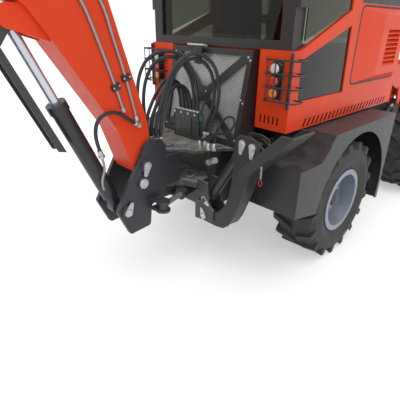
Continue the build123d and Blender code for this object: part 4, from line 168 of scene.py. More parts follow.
def scaled(tree, value, low, high, to_low, to_high):
    """A value carried from one range to another and held inside it."""
    return wire(tree, "ShaderNodeMapRange", {0: value, 1: low, 2: high, 3: to_low, 4: to_high}).outputs[0]


def noise(tree, scale, detail=3.0, place=None, rough=0.5):
    """Noise in the piece's own coordinates."""
    settings = {"Vector": place or own_place(tree), "Scale": scale, "Detail": detail, "Roughness": rough}
    return wire(tree, "ShaderNodeTexNoise", settings).outputs["Fac"]


def math(tree, operation, first, second=0.0, clamp=False):
    """One step of arithmetic on values."""
    node = wire(tree, "ShaderNodeMath", {0: first, 1: second}, operation=operation, use_clamp=clamp)
    return node.outputs[0]


def ripple(tree, strength, depth, height):
    """Small relief in the shading, from a height."""
    settings = {"Strength": strength, "Distance": depth, "Height": height}
    return wire(tree, "ShaderNodeBump", settings).outputs[0]


def surface(tree, output, tone, rough, normal=None, more=None):
    """Ends a material with its shader: tone, roughness, relief and any more sockets by name."""
    sockets = {"Base Color": tone, "Roughness": rough, **(more or {})}
    if normal:
        sockets["Normal"] = normal
    shader = wire(tree, "ShaderNodeBsdfPrincipled", sockets)
    tree.links.new(shader.outputs[0], output.inputs["Surface"])


def own_place(tree):
    """A point's place in the piece's own coordinates."""
    return wire(tree, "ShaderNodeTexCoord").outputs["Object"]


hose_rubber, tree, output = empty_material("hose_rubber")
weave = wire(tree, "ShaderNodeTexWave", {"Scale": 260.0, "Distortion": 1.5, "Detail": 1.0},
             bands_direction="DIAGONAL").outputs["Fac"]
scuff = scaled(tree, noise(tree, 42.0, 5.0, rough=0.7), 0.55, 0.75, 0.0, 0.6)
tone = mixed_colour(tree, scuff, (0.018, 0.019, 0.023), (0.075, 0.078, 0.088))
surface(tree, output, tone, scaled(tree, scuff, 0, 0.6, 0.34, 0.62), ripple(tree, 0.35, 0.001, weave))

zinc_plate, tree, output = empty_material("zinc_plate")
cloud = noise(tree, 22.0, 4.0)
spots = scaled(tree, noise(tree, 160.0, 3.0), 0.58, 0.72, 0.0, 1.0)
tone = mixed_colour(tree, cloud, (0.62, 0.63, 0.62), (0.40, 0.41, 0.42))
tone = mixed_colour(tree, math(tree, "MULTIPLY", spots, 0.5), tone, (0.25, 0.23, 0.19))
surface(tree, output, tone, scaled(tree, cloud, 0.3, 0.7, 0.26, 0.5),
        ripple(tree, 0.2, 0.0006, noise(tree, 300.0, 2.0)), {"Metallic": 0.75})


def new_piece(name, shape, material, body, smooth=False, edge=0.0):
    """A mesh piece of vertices and faces, painted, riding on a body, with its edges broken if asked."""
    mesh = bpy.data.meshes.new(name)
    mesh.from_pydata([tuple(v) for v in shape[0]], [], shape[1])
    cleaned = bmesh.new()
    cleaned.from_mesh(mesh)
    bmesh.ops.recalc_face_normals(cleaned, faces=cleaned.faces)
    cleaned.to_mesh(mesh)
    cleaned.free()
    mesh.materials.append(material)
    piece = bpy.data.objects.new(name, mesh)
    bpy.context.scene.collection.objects.link(piece)
    if smooth:
        for polygon in mesh.polygons:
            polygon.use_smooth = True
        mesh.set_sharp_from_angle(angle=radians(38))
    if edge:
        bevel = piece.modifiers.new("broken_edges", "BEVEL")
        bevel.width = edge
        bevel.segments = 2
        bevel.limit_method = "ANGLE"
    if body:
        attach(piece, body)
    return piece


def zinc_piece(name, shapes, body):
    """Smooth-shaded zinc-plated hardware, made of several shapes."""
    return new_piece(name, joined(shapes), zinc_plate, body, smooth=True)


def black_piece(name, shape, smooth=True):
    """A piece of black rubber on the rear body."""
    return new_piece(name, shape, seal_rubber, "rear", smooth=smooth)


def joined(shapes):
    """Several shapes as one."""
    places, faces = [], []
    for shape in shapes:
        start = len(places)
        places.extend(shape[0])
        faces.extend([tuple(i + start for i in face) for face in shape[1]])
    return places, faces


def across(direction):
    """Two unit directions square to a direction."""
    direction = Vector(direction).normalized()
    helper = up_way if abs(direction.z) < 0.9 else ahead_way
    first = direction.cross(helper).normalized()
    return first, direction.cross(first)


def ringed(count, sides):
    """The faces of a run of rings: a skin between each two, and a cap at each end."""
    faces = []
    for row in range(count - 1):
        for k in range(sides):
            near, far = row * sides, (row + 1) * sides
            beside = (k + 1) % sides
            faces.append((near + k, near + beside, far + beside, far + k))
    faces.append(tuple(range(sides)))
    faces.append(tuple((count - 1) * sides + k for k in range(sides)))
    return faces


def turned(centre, direction, profile, steps=24, squeeze=1.0):
    """A closed turned shape: rows of radius and distance along its axis."""
    first, second = across(direction)
    direction = Vector(direction).normalized()
    places = []
    for radius, along in profile:
        for k in range(steps):
            angle = 2 * pi * k / steps
            places.append(centre + direction * along + first * (radius * cos(angle))
                          + second * (radius * squeeze * sin(angle)))
    return places, ringed(len(profile), steps)


def tube(points, radius, sides=12):
    """A round bar or hose along a line of points."""
    places = []
    first = across(points[1] - points[0])[0]
    for index, point in enumerate(points):
        before = points[max(index - 1, 0)]
        after = points[min(index + 1, len(points) - 1)]
        direction = (after - before).normalized()
        first = (first - direction * first.dot(direction)).normalized()
        second = direction.cross(first)
        for k in range(sides):
            angle = 2 * pi * k / sides
            places.append(point + first * (radius * cos(angle)) + second * (radius * sin(angle)))
    return places, ringed(len(points), sides)


def smooth_line(name, points, resolution=6):
    """Points read from a smooth spline that has the route's points as its control points."""
    curve = bpy.data.curves.new(name, "CURVE")
    curve.dimensions = "3D"
    spline = curve.splines.new("NURBS")
    spline.points.add(len(points) - 1)
    for point, place in zip(spline.points, points):
        point.co = (*place, 1.0)
    spline.order_u = 3
    spline.use_endpoint_u = True
    curve.resolution_u = resolution
    holder = bpy.data.objects.new(name, curve)
    bpy.context.scene.collection.objects.link(holder)
    line = bpy.data.meshes.new_from_object(holder)
    read = [v.co.copy() for v in line.vertices]
    bpy.data.meshes.remove(line)
    bpy.data.objects.remove(holder)
    return read


def ferrule(name, place, direction, body):
    """The crimped end of a hose: a ribbed sleeve with a hexagon nut on its fitting."""
    sleeve = [(0.0135, -0.004), (0.0175, -0.004), (0.0175, 0.004), (0.0165, 0.006), (0.0175, 0.009),
              (0.0165, 0.013), (0.0175, 0.017), (0.0165, 0.021), (0.0175, 0.025), (0.0178, 0.046),
              (0.0155, 0.05), (0.0135, 0.05)]
    nut = [(0.0215, -0.006), (0.0215, 0.012)]
    return zinc_piece(name, [turned(place, direction, sleeve, 18), turned(place, direction, nut, 6)], body)


hose_width = 0.026
bulkhead_x, bulkhead_row, bulkhead_z = -1390, 40, 1162
loop_side, loop_rise = 100, 590
spool_count, spool_pitch = 6, 41.5
port_count, port_pitch = 2, 38
left_loop = ((0.0, 0.0, 0.25), (0.05, 0.45, 0.51), (0.177, 0.80, 0.745), (0.358, 0.89, 0.925),
             (0.59, 0.51, 1.0), (0.811, 0.39, 0.925), (0.955, 0.12, 0.72), (1.0, 0.0, 0.46))
bundle = ((0.0, 0.0, 0.237), (0.21, 0.0, 0.458), (0.51, 0.0, 0.652), (0.81, 0.0, 0.628), (1.0, 0.0, 0.445))
right_loop = ((0.0, 0.0, 0.23), (0.094, -0.02, 0.463), (0.222, 0.03, 0.695), (0.358, -0.06, 0.881),
              (0.553, -0.26, 0.988), (0.753, -0.44, 0.986), (0.943, -0.65, 0.871), (1.027, -0.74, 0.69),
              (1.047, -0.73, 0.471), (1.032, -0.42, 0.268), (1.0, 0.0, 0.107))
spools = [(-966, -69 + spool_pitch * (n + 0.5), 1284) for n in range(spool_count)]
ports = [(-985, -150 - port_pitch * n, 1140) for n in range(port_count)]
hose_rows = (
    ("left_outer", left_loop, 0, 92, spools[1], 1.0, 1.0, 1.251),
    ("left_inner", left_loop, 1, 92, spools[0], 1.55, 1.07, 1.385),
    ("middle_a", bundle, 0, 31, spools[3], 1.0, 1.0, 0.852),
    ("middle_b", bundle, 0, -31, spools[2], 1.0, 1.0, 0.854),
    ("middle_c", bundle, 1, 31, spools[5], 1.0, 1.08, 0.945),
    ("middle_d", bundle, 1, -31, spools[4], 1.0, 1.08, 0.949),
    ("right_outer", right_loop, 0, -92, ports[0], 1.0, 1.0, 1.392),
    ("right_inner", right_loop, 1, -92, ports[1], 1.1, 1.06, 1.494),
)
for label, shares, row, foot_y, end, wide, high, length in hose_rows:
    foot = Vector((bulkhead_x - bulkhead_row * row, foot_y, bulkhead_z))
    end = Vector(end)
    route = [at(*foot)]
    for along, sideways, up in shares:
        route.append(at(foot.x + (end.x - foot.x) * along,
                        foot.y + (end.y - foot.y) * along + sideways * wide * loop_side,
                        foot.z + up * high * loop_rise))
    route.append(at(*end))
    line = smooth_line(f"hose_{label}_line", route)
    hose = new_piece(f"hose_{label}", tube(line, hose_width / 2), hose_rubber, None,
                     smooth=True)
    post_end = ferrule(f"ferrule_post_{label}", line[0], up_way, "post")
    valve_end = ferrule(f"ferrule_valve_{label}", line[-1], up_way, "rear")
    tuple(line[-1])
    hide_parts("hoses")
    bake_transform(hose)

# Paint and dust shared by all the steel of the machine: a wavering tone, fine orange peel,
# pale dust on what faces up, splashes low down, and edges rubbed through.


def effect(name, takes, gives):
    """A node group with named inputs and outputs, its input node and its output node."""
    group = bpy.data.node_groups.new(name, "ShaderNodeTree")
    kinds = {"colour": "NodeSocketColor", "value": "NodeSocketFloat", "vector": "NodeSocketVector"}
    for label, kind in takes:
        group.interface.new_socket(label, in_out="INPUT", socket_type=kinds[kind])
    for label, kind in gives:
        group.interface.new_socket(label, in_out="OUTPUT", socket_type=kinds[kind])
    return group, group.nodes.new("NodeGroupInput").outputs, group.nodes.new("NodeGroupOutput").inputs


paint_wear, taken, given = effect(
    "paint_wear",
    (("Colour", "colour"), ("Dust", "colour"), ("Dust Amount", "value"), ("Splash Height", "value"),
     ("Wear Colour", "colour"), ("Wear Amount", "value"), ("Gloss", "value")),
    (("Colour", "colour"), ("Roughness", "value"), ("Height", "value")))
tree = paint_wear
normal = wire(tree, "ShaderNodeNewGeometry").outputs["Normal"]
facing_up = wire(tree, "ShaderNodeSeparateXYZ", {0: normal}).outputs["Z"]
place = own_place(tree)
above_ground = wire(tree, "ShaderNodeSeparateXYZ", {0: place}).outputs["Z"]
broad = noise(tree, 2.2, 4.0, place)
middling = noise(tree, 14.0, 5.0, place, 0.65)
fine = noise(tree, 240.0, 2.0, place)
shade = mixed_colour(tree, scaled(tree, broad, 0.3, 0.7, 0.0, 0.10), taken["Colour"], (0.0, 0.0, 0.0))
upward_face = scaled(tree, facing_up, 0.25, 0.95, 0.0, 1.0)
dust_patch = scaled(tree, middling, 0.34, 0.62, 0.25, 1.0)
dust = math(tree, "MULTIPLY", math(tree, "MULTIPLY", upward_face, dust_patch), taken["Dust Amount"], True)
low = math(tree, "DIVIDE", math(tree, "SUBTRACT", taken["Splash Height"], above_ground), 0.5, True)
splash_patch = scaled(tree, middling, 0.45, 0.7, 0.0, 0.55)
splash = math(tree, "MULTIPLY", math(tree, "MULTIPLY", low, splash_patch), taken["Dust Amount"], True)
haze = math(tree, "MULTIPLY", scaled(tree, middling, 0.3, 0.8, 0.02, 0.10), taken["Dust Amount"])
covering = math(tree, "MAXIMUM", math(tree, "MAXIMUM", dust, splash), haze)
dusted = mixed_colour(tree, covering, shade, taken["Dust"])
rounded = wire(tree, "ShaderNodeBevel", {"Radius": 0.006}, samples=4)
turned_away = wire(tree, "ShaderNodeVectorMath", {0: rounded.outputs[0], 1: normal}, operation="DOT_PRODUCT")
edge = scaled(tree, turned_away.outputs["Value"], 0.99, 0.90, 0.0, 1.0)
chipped = scaled(tree, noise(tree, 34.0, 4.0, place), 0.42, 0.6, 0.0, 1.0)
rubbed = math(tree, "MULTIPLY", math(tree, "MULTIPLY", edge, chipped), taken["Wear Amount"], True)
tree.links.new(mixed_colour(tree, rubbed, dusted, taken["Wear Colour"]), given["Colour"])
roughness = math(tree, "ADD", taken["Gloss"], math(tree, "MULTIPLY", covering, 0.4))
roughness = math(tree, "ADD", roughness, scaled(tree, middling, 0.3, 0.7, -0.05, 0.07), True)
tree.links.new(roughness, given["Roughness"])
relief = math(tree, "ADD", math(tree, "MULTIPLY", fine, 0.4), math(tree, "MULTIPLY", covering, 0.5))
tree.links.new(math(tree, "SUBTRACT", relief, math(tree, "MULTIPLY", rubbed, 0.6)), given["Height"])
road_dust = (0.30, 0.29, 0.27)
bare_steel = (0.30, 0.28, 0.27)


def worn_layer(tree, colour, dust=0.5, splash=0.9, wear=0.5, gloss=0.38, dust_colour=road_dust,
               wear_colour=bare_steel):
    """The shared paint in a material, with its own colour, dirt, wear and gloss."""
    layer = wire(tree, "ShaderNodeGroup", node_tree=paint_wear)
    for label, value in (("Colour", colour), ("Dust", dust_colour), ("Wear Colour", wear_colour)):
        layer.inputs[label].default_value = (*value, 1)
    for label, value in (("Dust Amount", dust), ("Splash Height", splash), ("Wear Amount", wear),
                         ("Gloss", gloss)):
        layer.inputs[label].default_value = value
    return layer.outputs


def painted(name, colour, metal=0.0, relief=0.12, shine=0.5, **wear):
    """A steel finish from the shared paint."""
    material, tree, output = empty_material(name)
    layer = worn_layer(tree, colour, **wear)
    surface(tree, output, layer["Colour"], layer["Roughness"], ripple(tree, relief, 0.002, layer["Height"]),
            {"Metallic": metal, "Specular IOR Level": shine})
    return material


def dress(material, *names):
    """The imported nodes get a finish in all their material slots."""
    for name in names:
        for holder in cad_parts[name].material_slots:
            holder.material = material


# The frames: welded plate and box rails, painted a warm dark grey, with the deck and the
# pivot plates at the back trodden and dusty.
dark_paint = painted("chassis_paint", (0.030, 0.027, 0.026), dust=0.24, wear=0.35, shine=0.35)
deck_paint = painted("deck_paint", (0.045, 0.041, 0.039), dust=0.9, splash=0.5, wear=0.8, gloss=0.5,
                     dust_colour=(0.33, 0.32, 0.29))
cast_paint = painted("cast_paint", (0.045, 0.044, 0.045), wear=0.3, gloss=0.55, relief=0.5)
orange_paint = painted("orange_paint", (0.84, 0.062, 0.012), dust=0.03, splash=0.4, wear=0.25, gloss=0.36,
                       shine=0.22, relief=0.06, dust_colour=(0.60, 0.32, 0.24),
                       wear_colour=(0.55, 0.20, 0.12))
fender_paint = painted("fender_paint", (0.028, 0.028, 0.030), dust=0.18, splash=1.0, wear=0.3, shine=0.35)
dress(dark_paint, "rear_frame", "cab_frame", "cab_floor", "door")
dress(fender_paint, "fenders")
dress(deck_paint, "backhoe_frame")
dress(cast_paint, "rear_axle", "front_axle", "engine_block")
dress(orange_paint, "front_frame", "loader_arms", "cab_body", "engine_cover", "cab_roof", "boom", "dipper")


def bolt_shape(place, direction, size):
    """A hexagon bolt head on a flat washer."""
    washer = [(size * 1.05, 0.0), (size * 1.05, size * 0.16), (size * 0.9, size * 0.2)]
    head = [(size * 0.8, size * 0.2), (size * 0.8, size * 0.62), (size * 0.68, size * 0.74)]
    return joined([turned(place, direction, washer, 16), turned(place, direction, head, 6)])


# The wheels: industrial tyres with slanted lugs on pressed steel rims, held by eight nuts round
# a dark hub. The rubber is blotched with dust and the rims are silver.
hands = (("left", 1), ("right", -1))
nut_circle, nut_count, nut_size = 0.105, 8, 0.017
hub_stand = 0.4 * 0.178
tyre_rubber, tree, output = empty_material("tyre_rubber")
place = own_place(tree)
blotch = noise(tree, 9.0, 5.0, place, 0.7)
grit = noise(tree, 170.0, 3.0, place)
tone = mixed_colour(tree, scaled(tree, blotch, 0.35, 0.75, 0.0, 0.8), (0.026, 0.025, 0.027),
                    (0.085, 0.078, 0.072))
relief = math(tree, "ADD", math(tree, "MULTIPLY", grit, 0.5), blotch)
softened = wire(tree, "ShaderNodeBevel", {"Radius": 0.008, "Normal": ripple(tree, 0.25, 0.003, relief)},
                samples=4)
surface(tree, output, tone, scaled(tree, blotch, 0.3, 0.7, 0.62, 0.85), softened.outputs[0])
rim_paint = painted("rim_paint", (0.26, 0.30, 0.38), splash=1.2, wear=0.4, gloss=0.32, metal=0.3,
                    dust_colour=(0.40, 0.38, 0.34))
hub_paint = painted("hub_paint", (0.05, 0.05, 0.055), splash=1.0, wear=0.4, gloss=0.4)
hub_rows = [(0.058, 0.0), (0.074, 0.002), (0.07, 0.03), (0.052, 0.052), (0.02, 0.06)]
for wheel in ("rear_left", "rear_right", "front_left", "front_right"):
    dress(tyre_rubber, f"tyre_{wheel}")
    dress(rim_paint, f"rim_{wheel}")
    low_corner, high_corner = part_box(f"rim_{wheel}")
    outward = left_way if wheel.endswith("left") else -left_way
    face = (low_corner + high_corner) / 2 + outward * hub_stand
    nuts = []
    for k in range(nut_count):
        angle = 2 * pi * k / nut_count
        nuts.append(bolt_shape(face + Vector((cos(angle), 0, sin(angle))) * nut_circle, outward, nut_size))
    new_piece(f"hub_cap_{wheel}", turned(face, outward, hub_rows, 28), hub_paint, f"wheel_{wheel}",
              smooth=True)
    zinc_piece(f"wheel_nuts_{wheel}", nuts, f"wheel_{wheel}")

# The backhoe's steelwork: blue-grey painted post and stabilizers, cylinders with black barrels
# and hard-chromed rods whose eyes are welded on and painted.
post_paint = painted("post_paint", (0.025, 0.027, 0.034), dust=0.2, splash=0.8, gloss=0.42,
                     dust_colour=(0.30, 0.29, 0.28))
barrel_paint = painted("barrel_paint", (0.020, 0.020, 0.022), dust=0.22, splash=0.8, wear=0.35, gloss=0.36)
bucket_paint = painted("bucket_steel", (0.060, 0.055, 0.053), dust=0.7, splash=1.0, wear=0.9, gloss=0.45,
                       wear_colour=(0.42, 0.41, 0.40))
dress(post_paint, "swing_post", "valve_bank", "guide_link", "push_link")
dress(barrel_paint, "boom_barrel", "dipper_barrel", "bucket_barrel", "lift_barrels", "tilt_barrels",
      "steer_barrel", "swing_barrel_left", "swing_barrel_right", "stabilizer_barrel_left",
      "stabilizer_barrel_right")
dress(bucket_paint, "loader_bucket", "dig_bucket")
dress(dark_paint, "stabilizer_foot_left", "stabilizer_foot_right")

rod_mask, taken, given = effect(
    "rod_mask", (("Eye", "vector"), ("Direction", "vector"), ("Plane", "vector"), ("Rod Radius", "value"),
                 ("Eye Radius", "value")), (("Painted", "value"),))
tree = rod_mask
place = own_place(tree)
heading = taken["Direction"]
offset = wire(tree, "ShaderNodeVectorMath", {0: place, 1: taken["Eye"]}, operation="SUBTRACT").outputs[0]
offset = wire(tree, "ShaderNodeVectorMath", {0: offset, 1: taken["Plane"]}, operation="MULTIPLY").outputs[0]
along = wire(tree, "ShaderNodeVectorMath", {0: offset, 1: heading}, operation="DOT_PRODUCT").outputs["Value"]
on_axis = wire(tree, "ShaderNodeVectorMath", {0: heading, "Scale": along}, operation="SCALE").outputs[0]
away = wire(tree, "ShaderNodeVectorMath", {0: offset, 1: on_axis}, operation="DISTANCE").outputs["Value"]
wide = math(tree, "GREATER_THAN", away, math(tree, "MULTIPLY", taken["Rod Radius"], 1.12))
near = math(tree, "GREATER_THAN", along, math(tree, "MULTIPLY", taken["Eye Radius"], -1.3))
tree.links.new(math(tree, "MAXIMUM", wide, near), given["Painted"])


def rod_finish(node, base, eye, plane, rod_radius, eye_radius):
    """Chrome on the sliding rod and dark paint on its eye and whatever is welded to it."""
    base, eye = at(*base), at(*eye)
    heading = Vector([p * (e - b) for p, b, e in zip(plane, base, eye)]).normalized()
    material, tree, output = empty_material(f"chrome_{node}")
    mask = wire(tree, "ShaderNodeGroup", node_tree=rod_mask)
    for label, value in (("Eye", eye), ("Direction", heading), ("Plane", plane),
                         ("Rod Radius", rod_radius / 1000), ("Eye Radius", eye_radius / 1000)):
        mask.inputs[label].default_value = value
    painted_part = mask.outputs["Painted"]
    smear = noise(tree, 18.0, 4.0)
    tone = mixed_colour(tree, smear, (0.66, 0.69, 0.76), (0.50, 0.53, 0.60))
    tone = mixed_colour(tree, painted_part, tone, (0.040, 0.040, 0.044))
    sheen = scaled(tree, smear, 0.3, 0.7, 0.12, 0.26)
    dull = math(tree, "ADD", sheen, math(tree, "MULTIPLY", painted_part, 0.28))
    bright = math(tree, "MULTIPLY", math(tree, "SUBTRACT", 1.0, painted_part), 0.72)
    scratches = ripple(tree, 0.08, 0.001, noise(tree, 210.0, 2.0))
    surface(tree, output, tone, dull, scratches, {"Metallic": bright})
    dress(material, node)


# Each rod: its node, the barrel's pin, the pin of its own eye, the plane it moves in, and the radii
# of the rod and of the eye.
upright, plan, cross = (1, 0, 1), (1, 1, 0), (0, 1, 1)
rod_finish("boom_rod", (-1760, 0, 742), (-2304, 0, 1991), upright, 30, 52)
rod_finish("lift_rods", (1480, 0, 570), (2200, 0, 1080), upright, 22, 42)
rod_finish("tilt_rods", (2180, 0, 1540), (3170, 0, 560), upright, 19, 36)
rod_finish("steer_rod", (760, 120, 790), (1425, 120, 790), plan, 16, 32)
for hand, outward in hands:
    rod_finish(f"swing_rod_{hand}", (-1090, outward * 120, 735), (-1500, outward * 235, 735), plan, 22, 38)
    rod_finish(f"stabilizer_rod_{hand}", (-1090, outward * 337, 710), (-1090, outward * 672, 1237),
               cross, 23, 38)
dipper_eye, bucket_eye = 46, 40
low_corner, high_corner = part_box("dipper_rod")
rod_finish("dipper_rod", (-2040, 0, 2500),
           (1000 * low_corner.x - rear_axle + dipper_eye, 0, 1000 * high_corner.z - dipper_eye),
           upright, 25, dipper_eye)
low_corner, high_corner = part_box("bucket_rod")
rod_finish("bucket_rod", (1000 * high_corner.x - rear_axle, 0, 1000 * high_corner.z),
           (1000 * low_corner.x - rear_axle + bucket_eye, 0, 1000 * low_corner.z + bucket_eye),
           upright, 23, bucket_eye)

# The glass: flat tinted safety panes, 8 mm thick; then the black rubber that later pieces use.
pane_glass, tree, output = empty_material("pane_glass")
film = noise(tree, 3.0, 4.0)
tone = mixed_colour(tree, film, (0.185, 0.20, 0.145), (0.22, 0.235, 0.175))
surface(tree, output, tone, scaled(tree, film, 0.3, 0.7, 0.0, 0.012),
        more={"Transmission Weight": 1.0, "IOR": 1.30})
dress(pane_glass, "cab_glass", "door_glass")

seal_rubber, tree, output = empty_material("seal_rubber")
mottle = noise(tree, 60.0, 4.0)
tone = mixed_colour(tree, mottle, (0.012, 0.012, 0.013), (0.035, 0.034, 0.034))
surface(tree, output, tone, scaled(tree, mottle, 0.3, 0.7, 0.42, 0.66),
        ripple(tree, 0.2, 0.001, noise(tree, 240.0, 2.0)))

# The guards behind the cab: bar frames with a cross brace over a sheet of light steel, whose round
# holes are drawn by its material as near-black dots of painted shade for the space behind the sheet.
dress(dark_paint, "rear_guards")
hole_pitch = 0.0135
row_pitch = hole_pitch * 0.87
guard_top, guard_bottom = at(-790, 0, 1800), at(-930, 0, 1108)
sheet_width, sheet_margin, sheet_thickness = 0.78, 0.04, 0.0012
sheet_back = 0.0208
guard_bolt = 0.0085
mesh_steel, tree, output = empty_material("perforated_steel")
place = own_place(tree)
split = wire(tree, "ShaderNodeSeparateXYZ", {0: place})
row_step = math(tree, "DIVIDE", split.outputs["Z"], row_pitch)
row_shift = math(tree, "MULTIPLY", math(tree, "FLOORED_MODULO", math(tree, "FLOOR", row_step), 2.0), 0.5)
across_step = math(tree, "ADD", math(tree, "DIVIDE", split.outputs["Y"], hole_pitch), row_shift)
u = math(tree, "SUBTRACT", math(tree, "FRACT", across_step), 0.5)
v = math(tree, "SUBTRACT", math(tree, "FRACT", row_step), 0.5)
away = math(tree, "SQRT", math(tree, "ADD", math(tree, "MULTIPLY", u, u), math(tree, "MULTIPLY", v, v)))
land = scaled(tree, away, 0.24, 0.34, 0.0, 1.0)
grime = noise(tree, 7.0, 4.0, place)
tone = mixed_colour(tree, scaled(tree, grime, 0.3, 0.75, 0.0, 0.7), (0.50, 0.50, 0.50), (0.27, 0.26, 0.25))
# Inside each hole the colour is near black: painted shade, since the sheet has no real holes.
tone = mixed_colour(tree, land, (0.025, 0.025, 0.027), tone)
surface(tree, output, tone, scaled(tree, grime, 0.3, 0.7, 0.35, 0.6), ripple(tree, 0.5, 0.0015, land),
        {"Metallic": math(tree, "MULTIPLY", land, 0.4)})


def slab(corner, along, wide, thick):
    """A flat plate from a corner and its three edges."""
    places = [corner + along * a + wide * b + thick * c
              for c in (0, 1) for a, b in ((0, 0), (1, 0), (1, 1), (0, 1))]
    faces = [(0, 1, 2, 3), (4, 5, 6, 7), (0, 1, 5, 4), (1, 2, 6, 5), (2, 3, 7, 6), (3, 0, 4, 7)]
    return places, faces


slope = (guard_top - guard_bottom).normalized()
facing = Vector((-slope.z, 0, slope.x)).normalized()
guard_height = (guard_top - guard_bottom).length
left_edge = guard_bottom + slope * sheet_margin + facing * -sheet_back + left_way * (-sheet_width / 2)
new_piece("guard_sheet",
          slab(left_edge, slope * (guard_height - 2 * sheet_margin), left_way * sheet_width,
               facing * sheet_thickness), mesh_steel, "rear")
guard_bolts = []
for side_y in (-1, 1):
    for share, inset in ((0.93, 0.395), (0.90, 0.418), (0.50, 0.395), (0.47, 0.418), (0.07, 0.405)):
        spot = guard_bottom + slope * (guard_height * share) + left_way * (side_y * inset)
        guard_bolts.append(bolt_shape(spot, facing, guard_bolt))
middle = (guard_top + guard_bottom) / 2 + Vector((0, -0.03, 0.02)) + facing * 0.001
guard_bolts.append(bolt_shape(middle, facing, guard_bolt))
zinc_piece("guard_bolts", guard_bolts, "rear")
latch_cream = painted("latch_cream", (0.62, 0.58, 0.44), wear=0.4, gloss=0.4)
latch_base = guard_top + slope * 0.004 + left_way * 0.06 + facing * -0.03
new_piece("latch_bar", slab(latch_base, left_way * 0.19, facing * 0.05, slope * 0.016), latch_cream, "rear",
          edge=0.004)
socket_rows = [(0.034, 0.0), (0.038, 0.003), (0.038, 0.05), (0.034, 0.055), (0.034, 0.075), (0.03, 0.078),
               (0.03, 0.12), (0.024, 0.124)]
socket_black = painted("socket_black", (0.018, 0.018, 0.02), dust=0.3, wear=0.1, gloss=0.4)
socket_top = guard_top + slope * -0.01 + left_way * 0.075 + facing * 0.042
new_piece("guard_socket", turned(socket_top, -slope, socket_rows, 24), socket_black, "rear",
          smooth=True)

# Lamps at the back: white, red and amber lenses in black housings behind bent wire guards, and
# working lamps under the roof.
lamp_housing = painted("lamp_housing", (0.020, 0.020, 0.022), dust=0.4, wear=0.1, gloss=0.45)
dress(lamp_housing, "lamps")
lens_x, lens_y = -811, 646
lens_dome = [(0.036, 0.0), (0.036, 0.012), (0.034, 0.017), (0.027, 0.0215), (0.014, 0.024), (0.004, 0.0245)]
lens_rim = [(0.0355, -0.002), (0.0405, -0.002), (0.0405, 0.010), (0.038, 0.013), (0.0355, 0.012)]
lens_rows = (("amber", (0.85, 0.24, 0.02), 1533), ("red", (0.62, 0.02, 0.015), 1615),
             ("white", (0.72, 0.72, 0.70), 1697))
work_lens_y, work_lens_z, work_lens_width, work_lens_height = 520, 2614, 0.132, 0.077
lamp_bar_x, lamp_bar_y, lamp_bar_z = -792, 752, 1430


def lens_plastic(name, colour):
    """Coloured plastic under a glossy coat, with moulded prisms drawn as rings in its colour and relief."""
    material, tree, output = empty_material(name)
    rings = wire(tree, "ShaderNodeTexWave", {"Scale": 130.0}, bands_direction="Z").outputs["Fac"]
    haze = noise(tree, 30.0, 3.0)
    tone = mixed_colour(tree, math(tree, "MULTIPLY", rings, 0.35), colour, [c * 0.45 for c in colour])
    surface(tree, output, tone, scaled(tree, haze, 0.3, 0.7, 0.08, 0.2), ripple(tree, 0.35, 0.001, rings),
            {"Coat Weight": 0.8, "Coat Roughness": 0.05})
    return material


for label, colour, z in lens_rows:
    plastic = lens_plastic(f"lens_{label}", colour)
    for hand, outward in hands:
        face = at(lens_x, outward * lens_y, z)
        new_piece(f"lens_{label}_{hand}", turned(face, -ahead_way, lens_dome, 28), plastic, "rear",
                  smooth=True)
        black_piece(f"lens_rim_{label}_{hand}", turned(face, -ahead_way, lens_rim, 28))

work_lens = lens_plastic("lens_work", (0.70, 0.71, 0.72))
for label, x, way in (("rear", -879, -1), ("front", 1190, 1)):
    panes = []
    for outward in (1, -1):
        corner = at(x + way * 0.5, outward * work_lens_y - 500 * work_lens_width, work_lens_z)
        panes.append(slab(corner, ahead_way * (way * 0.004), left_way * work_lens_width,
                          up_way * work_lens_height))
    new_piece(f"work_lenses_{label}", joined(panes), work_lens, "rear", edge=0.0015)
lamp_bars = [slab(at(lamp_bar_x, side_y * lamp_bar_y - 9, lamp_bar_z), ahead_way * 0.022, left_way * 0.018,
                  up_way * 0.37) for side_y in (-1, 1)]
new_piece("lamp_bars", joined(lamp_bars), lamp_housing, "rear", edge=0.003)

# The cover of the valve bank: folded sheet steel with slots, four bolts along its top, and a
# loom beside it bound with green tape.
cover_width, cover_height = 0.301, 0.218
cover_holes = ((0.014, 0.024, 0.02, 0.17), (0.095, 0.122, 0.098, 0.107), (0.134, 0.161, 0.098, 0.107),
               (0.095, 0.122, 0.062, 0.071), (0.134, 0.161, 0.062, 0.071), (0.215, 0.292, 0.012, 0.165))
cover_bolt_rows = (186, 106, 26, -54)
loom_route = ((-995, -122, 1104), (-996, -122, 1160), (-998, -121, 1230), (-1000, -119, 1300),
              (-992, -116, 1370), (-950, -112, 1410), (-893, -110, 1420))


def pierced(origin, across_way, rise_way, out_way, width, height, holes):
    """A plate with square-cut holes: rows of low and high distance across and up."""
    lines_a = sorted({0.0, width} | {v for hole in holes for v in hole[:2]})
    lines_b = sorted({0.0, height} | {v for hole in holes for v in hole[2:]})
    shapes = []
    for a0, a1 in zip(lines_a, lines_a[1:]):
        for b0, b1 in zip(lines_b, lines_b[1:]):
            middle_a, middle_b = (a0 + a1) / 2, (b0 + b1) / 2
            if not any(h[0] < middle_a < h[1] and h[2] < middle_b < h[3] for h in holes):
                shapes.append(slab(origin + across_way * a0 + rise_way * b0, across_way * (a1 - a0),
                                   rise_way * (b1 - b0), out_way))
    return joined(shapes)


